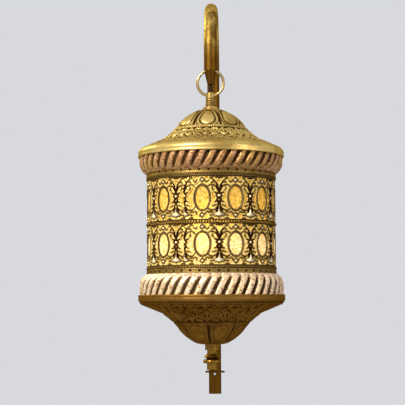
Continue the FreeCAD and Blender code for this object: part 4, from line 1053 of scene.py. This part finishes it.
def makeSheet(name, node, table):
    # the sheet that the strokes stand on, open inside the ovals and in the wider fields
    middle, tall, squeeze = rowPlaces(node)
    radius, step, whole = filigree["sheetRadius"], filigree["sheetStep"], 2 * math.pi
    firstOval, pitch, cut = (math.radians(filigree[key]) for key in ("firstOval", "pitch", "cutConnector"))

    def fromConnector(beside, level):
        row, column = (level + strokeTable["up"]) / strokeTable["step"], beside / strokeTable["step"]
        within = (beside > -0.5) & (beside < strokeTable["reach"])
        return np.where(within, lookUp(table, row, column), farAway)

    def fromCell(turned, shift):
        # how far round the drum each place is from the middle of the cell that it is in
        cell = np.clip(np.round(turned / pitch - shift), 0, filigree["cells"] - 1)
        return (turned - (cell + shift) * pitch) * radius

    def awayAndOpen(angle, up):
        level = up / squeeze
        turned = (angle - firstOval) % whole
        away = fromConnector(np.abs(fromCell(turned, 0.5)), level)
        away = np.minimum(away, fromConnector(fromNearest(angle - cut, whole) * radius, level))
        aside = fromCell((turned + pitch / 2) % whole - pitch / 2, 0)
        oval = np.maximum(np.hypot(aside / filigree["ovalAcross"], level / filigree["ovalUp"]), 1e-3)
        fromOval = (oval - 1) * np.hypot(aside, level) / oval
        for eye in (filigree["eyeUp"], -filigree["eyeUp"]):
            away = np.minimum(away, np.abs(np.hypot(aside, level - eye) - filigree["eyeRadius"]))
        away = np.minimum(away, np.abs(fromOval))
        opened = np.maximum(-fromOval, away - filigree["pierced"])
        return away, np.minimum(opened, tall / 2 - filigree["sheetBorder"] - np.abs(up))

    # a flat grid whose corners near an opening's edge are moved onto it, curled round the drum
    shape = bmesh.new()
    hollowAndShadeLayer = layerOf(shape, "hollowAndShade")
    bmesh.ops.create_grid(shape, x_segments=int(whole * radius / step), y_segments=int(tall / step), size=0.5)
    where = np.array([vert.co for vert in shape.verts])
    angle, up = where[:, 0] * whole, where[:, 1] * (tall - 0.4)
    away, opened = awayAndOpen(angle, up)
    small, limit = 0.05, step * 0.45
    turn = small / radius
    slopeX = (awayAndOpen(angle + turn, up)[1] - awayAndOpen(angle - turn, up)[1]) / (2 * small)
    slopeY = (awayAndOpen(angle, up + small)[1] - awayAndOpen(angle, up - small)[1]) / (2 * small)
    near = np.abs(opened) < step * 0.5
    move = np.where(near, opened / np.maximum(slopeX ** 2 + slopeY ** 2, 0.2), 0)
    angle = angle - np.clip(move * slopeX, -limit, limit) / radius
    up = up - np.clip(move * slopeY, -limit, limit)
    outside = ~near & (opened > 0)
    # painted shade and highlight: the sheet is coloured dark next to every stroke and pale in the fields away
    # from them
    pale = smoothStep(0.7, 1.4, away)
    out = radius + filigree["paleRise"] * pale
    curled = np.stack([out * np.sin(angle), -out * np.cos(angle), up + middle], axis=1)
    for vert, spot, paleHere in zip(shape.verts, curled, pale):
        vert.co = spot
        vert[hollowAndShadeLayer] = 0.85 - 1.5 * paleHere
    shape.verts.index_update()
    gone = []
    for face in shape.faces:
        corners = [vert.index for vert in face.verts]
        if outside[corners].any() or opened[corners].mean() > 0:
            gone.append(face)
    bmesh.ops.delete(shape, geom=gone, context="FACES")
    bmesh.ops.remove_doubles(shape, verts=shape.verts, dist=1e-3)
    # no two faces meet at a corner alone
    corners = [vert for vert in shape.verts if len(vert.link_faces) == 2 and len(vert.link_edges) == 4]
    bmesh.ops.delete(shape, geom=list({vert.link_faces[0] for vert in corners}), context="FACES")
    within = radius - filigree["sheetThick"]
    for vert in grow(shape, shape.faces[:])[0]:
        bearing = math.atan2(vert.co.x, -vert.co.y)
        vert.co = (within * math.sin(bearing), -within * math.cos(bearing), vert.co.z)
        vert[hollowAndShadeLayer] = 0.0
    bmesh.ops.recalc_face_normals(shape, faces=shape.faces)
    finishPiece(name, shape, "lantern", sheetBrass)


makeRow("upperFiligree", "upper_pierced_sheet")
makeRow("lowerFiligree", "lower_pierced_sheet")
distances = tableOfDistances()
makeSheet("upperSheet", "upper_pierced_sheet", distances)
makeSheet("lowerSheet", "lower_pierced_sheet", distances)
print("filigree drawn")


# rings turned on the pipe's head, as (beyond the pipe's radius, level from its top)
pipeRings = {
    "profile": [(-0.1, -14.0), (0.25, -13.4), (0.9, -12.8), (0.9, -12.2), (0.3, -11.6), (0.2, -10.8),
                (0.7, -10.3), (0.7, -9.8), (0.15, -9.3), (0.15, -8.6), (0.6, -8.1), (0.6, -7.6),
                (0.15, -7.1), (0.15, -6.4), (0.5, -5.9), (0.5, -5.5), (-0.1, -5.0)],
    "step": 0.25,
    "depth": 0.5,
}


def makePipeRings():
    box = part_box("eye_pipe")
    top, radius, depth = box[1].z / mm, box[1].x / mm, pipeRings["depth"]
    profile = [(radius + beyond, level) for beyond, level in pipeRings["profile"]]
    inner = [(radius - depth, profile[-1][1]), (radius - depth, profile[0][1])]
    shape = turnShell(evenly(profile, pipeRings["step"]), inner, (48, 4))
    hollowAndShadeLayer = layerOf(shape, "hollowAndShade")
    for vert in shape.verts:
        beyond = math.hypot(vert.co.x, vert.co.y) - radius
        vert[hollowAndShadeLayer] = 1 - min(max(beyond / depth, 0), 1)
    bmesh.ops.translate(shape, vec=(0, 0, top), verts=shape.verts)
    finishPiece("pipeRings", shape, "lantern", turnedBrass)


makePipeRings()


# the short open piece of flex at the ring
flexLink = {"width": 4.9, "thick": 3.0, "steps": 12, "intoPipe": 2.0, "narrowTop": 0.8}


def makeFlexLink():
    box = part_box("flex_at_ring")
    top, bottom = box[1].z / mm, box[0].z / mm
    back = (box[1].y - lanternY) / mm - flexLink["thick"] / 2
    shape = bmesh.new()
    bmesh.ops.create_circle(shape, cap_ends=True, segments=16, radius=flexLink["thick"] / 2,
                            matrix=Matrix.Translation((0, 0, top)))
    spread = (flexLink["width"] - flexLink["thick"]) / 2
    for vert in shape.verts:
        vert.co.x += math.copysign(spread, vert.co.x) if abs(vert.co.x) > 0.01 else 0
    down = -(top - bottom + flexLink["intoPipe"]) / flexLink["steps"]
    face = shape.faces[:][0]
    for step in range(flexLink["steps"]):
        verts, faces = grow(shape, [face])
        if step:
            bmesh.ops.delete(shape, geom=[face], context="FACES_ONLY")
        face = faces[0]
        bmesh.ops.translate(shape, vec=(0, 0, down), verts=verts)
    for vert in shape.verts:
        share = float(smoothStep(bottom, top, vert.co.z))
        narrow = 1 - (1 - flexLink["narrowTop"]) * share
        vert.co = (vert.co.x * narrow, vert.co.y * narrow + back * (1 - share), vert.co.z)
    bmesh.ops.recalc_face_normals(shape, faces=shape.faces)
    piece = finishPiece("flexAtRing", shape, None, flexCover, ["flex_at_ring"])
    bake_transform(piece, "ring", "lantern", start=(0, lanternY, top * mm), end=(0, lanternY, bottom * mm))


makeFlexLink()
print("pipe rings and flex made")


# floor, backdrop, light and camera
room = {
    "backdrop": (0.686, 0.694, 0.723),
    "floor": (0.62, 0.62, 0.63),
    "floorBelow": 0.85,
    "floorRadius": 3.0,
    "brightFrom": (-0.45, -0.3, 0.84),
    "brightSide": (1.0, 0.97, 0.92),
    "dimSide": (0.10, 0.06, 0.03),
    "light": 0.46,
}


def makeRoom():
    material, wire = newMaterial("paleFloor")
    shade(wire, {"Base Color": rgba(room["floor"]), "Roughness": 0.8})
    level = Matrix.Translation((0, lanternY, cadBox[0].z - room["floorBelow"]))
    shape = bmesh.new()
    bmesh.ops.create_circle(shape, cap_ends=True, segments=96, radius=room["floorRadius"], matrix=level)
    linkMesh("floor", shape, material)


def makeWorld():
    # a plain pale backdrop, and for the light a dim room that is brightest above and to the left
    world = bpy.data.worlds.new("softRoom")
    bpy.context.scene.world = world
    world.use_nodes = True
    tree = world.node_tree
    tree.nodes.clear()
    wire = Wire(tree)
    path = tree.nodes.new("ShaderNodeLightPath")
    camera, glossy, through = (Wire(tree, path.outputs[f"Is {kind} Ray"])
                               for kind in ("Camera", "Glossy", "Transmission"))
    seen = camera.larger(glossy).larger(through)
    way = wire.node("ShaderNodeTexCoord", give=0)
    up = wire.node("ShaderNodeVectorMath", {"operation": "DOT_PRODUCT"}, {0: way, 1: room["brightFrom"]}, 1)
    color = up.between(-0.7, 0.9).mix(rgba(room["dimSide"]), rgba(room["brightSide"]))
    light = wire.node("ShaderNodeBackground", None, {"Color": color, "Strength": room["light"]})
    plain = wire.node("ShaderNodeBackground", None, {"Color": rgba(room["backdrop"]), "Strength": 1.0})
    wire.node("ShaderNodeOutputWorld", None,
              {"Surface": wire.node("ShaderNodeMixShader", None, {0: seen, 1: light, 2: plain})})


def aimObject(name, data, place, turn):
    holder = linkObject(name, data)
    holder.location = place
    holder.rotation_mode = "QUATERNION"
    holder.rotation_quaternion = turn
    return holder


lamps = {
    # name: place, size, watts, colour
    "key": ((-0.95, -1.45, 1.1), 0.5, 54.0, (1.0, 0.97, 0.90)),
    "fill": ((1.6, -1.2, 0.4), 0.9, 6.0, (1.0, 0.88, 0.74)),
    "rim": ((-1.2, 0.7, 0.8), 0.6, 8.0, (0.95, 0.98, 1.0)),
}


def makeLamps():
    aim = Vector((0, lanternY, 0.02))
    for name, (place, size, watts, color) in lamps.items():
        lamp = bpy.data.lights.new(name, "AREA")
        lamp.shape = "DISK"
        lamp.size = size
        lamp.energy = watts
        lamp.color = color
        aimObject(name, lamp, place, (aim - Vector(place)).to_track_quat("-Z", "Y"))


view = {
    "lens": 111.1,
    "sensor": 36.0,
    "back": 1.284,          # level distance from the lantern's axis
    "aside": 1.9,           # degrees round towards +X
    "height": -0.0875,
    "pitch": 4.7,
    "heading": -2.30,
    "roll": -0.3,
}


def makeCamera():
    camera = bpy.data.cameras.new("camera")
    camera.lens = view["lens"]
    camera.sensor_width = view["sensor"]
    camera.clip_start = 0.05
    camera.clip_end = 50.0
    aside, pitch, heading, roll = (math.radians(view[name]) for name in ("aside", "pitch", "heading", "roll"))
    place = (view["back"] * math.sin(aside), lanternY - view["back"] * math.cos(aside), view["height"])
    level = math.cos(pitch)
    forward = Vector((math.sin(heading) * level, math.cos(heading) * level, math.sin(pitch)))
    turn = forward.to_track_quat("-Z", "Y").to_matrix().to_4x4() @ Matrix.Rotation(roll, 4, "Z")
    bpy.context.scene.camera = aimObject("camera", camera, place, turn.to_quaternion())


makeRoom()
makeWorld()
makeLamps()
makeCamera()
bpy.context.scene.view_settings.view_transform = "Standard"
print("room, lamps and camera set")
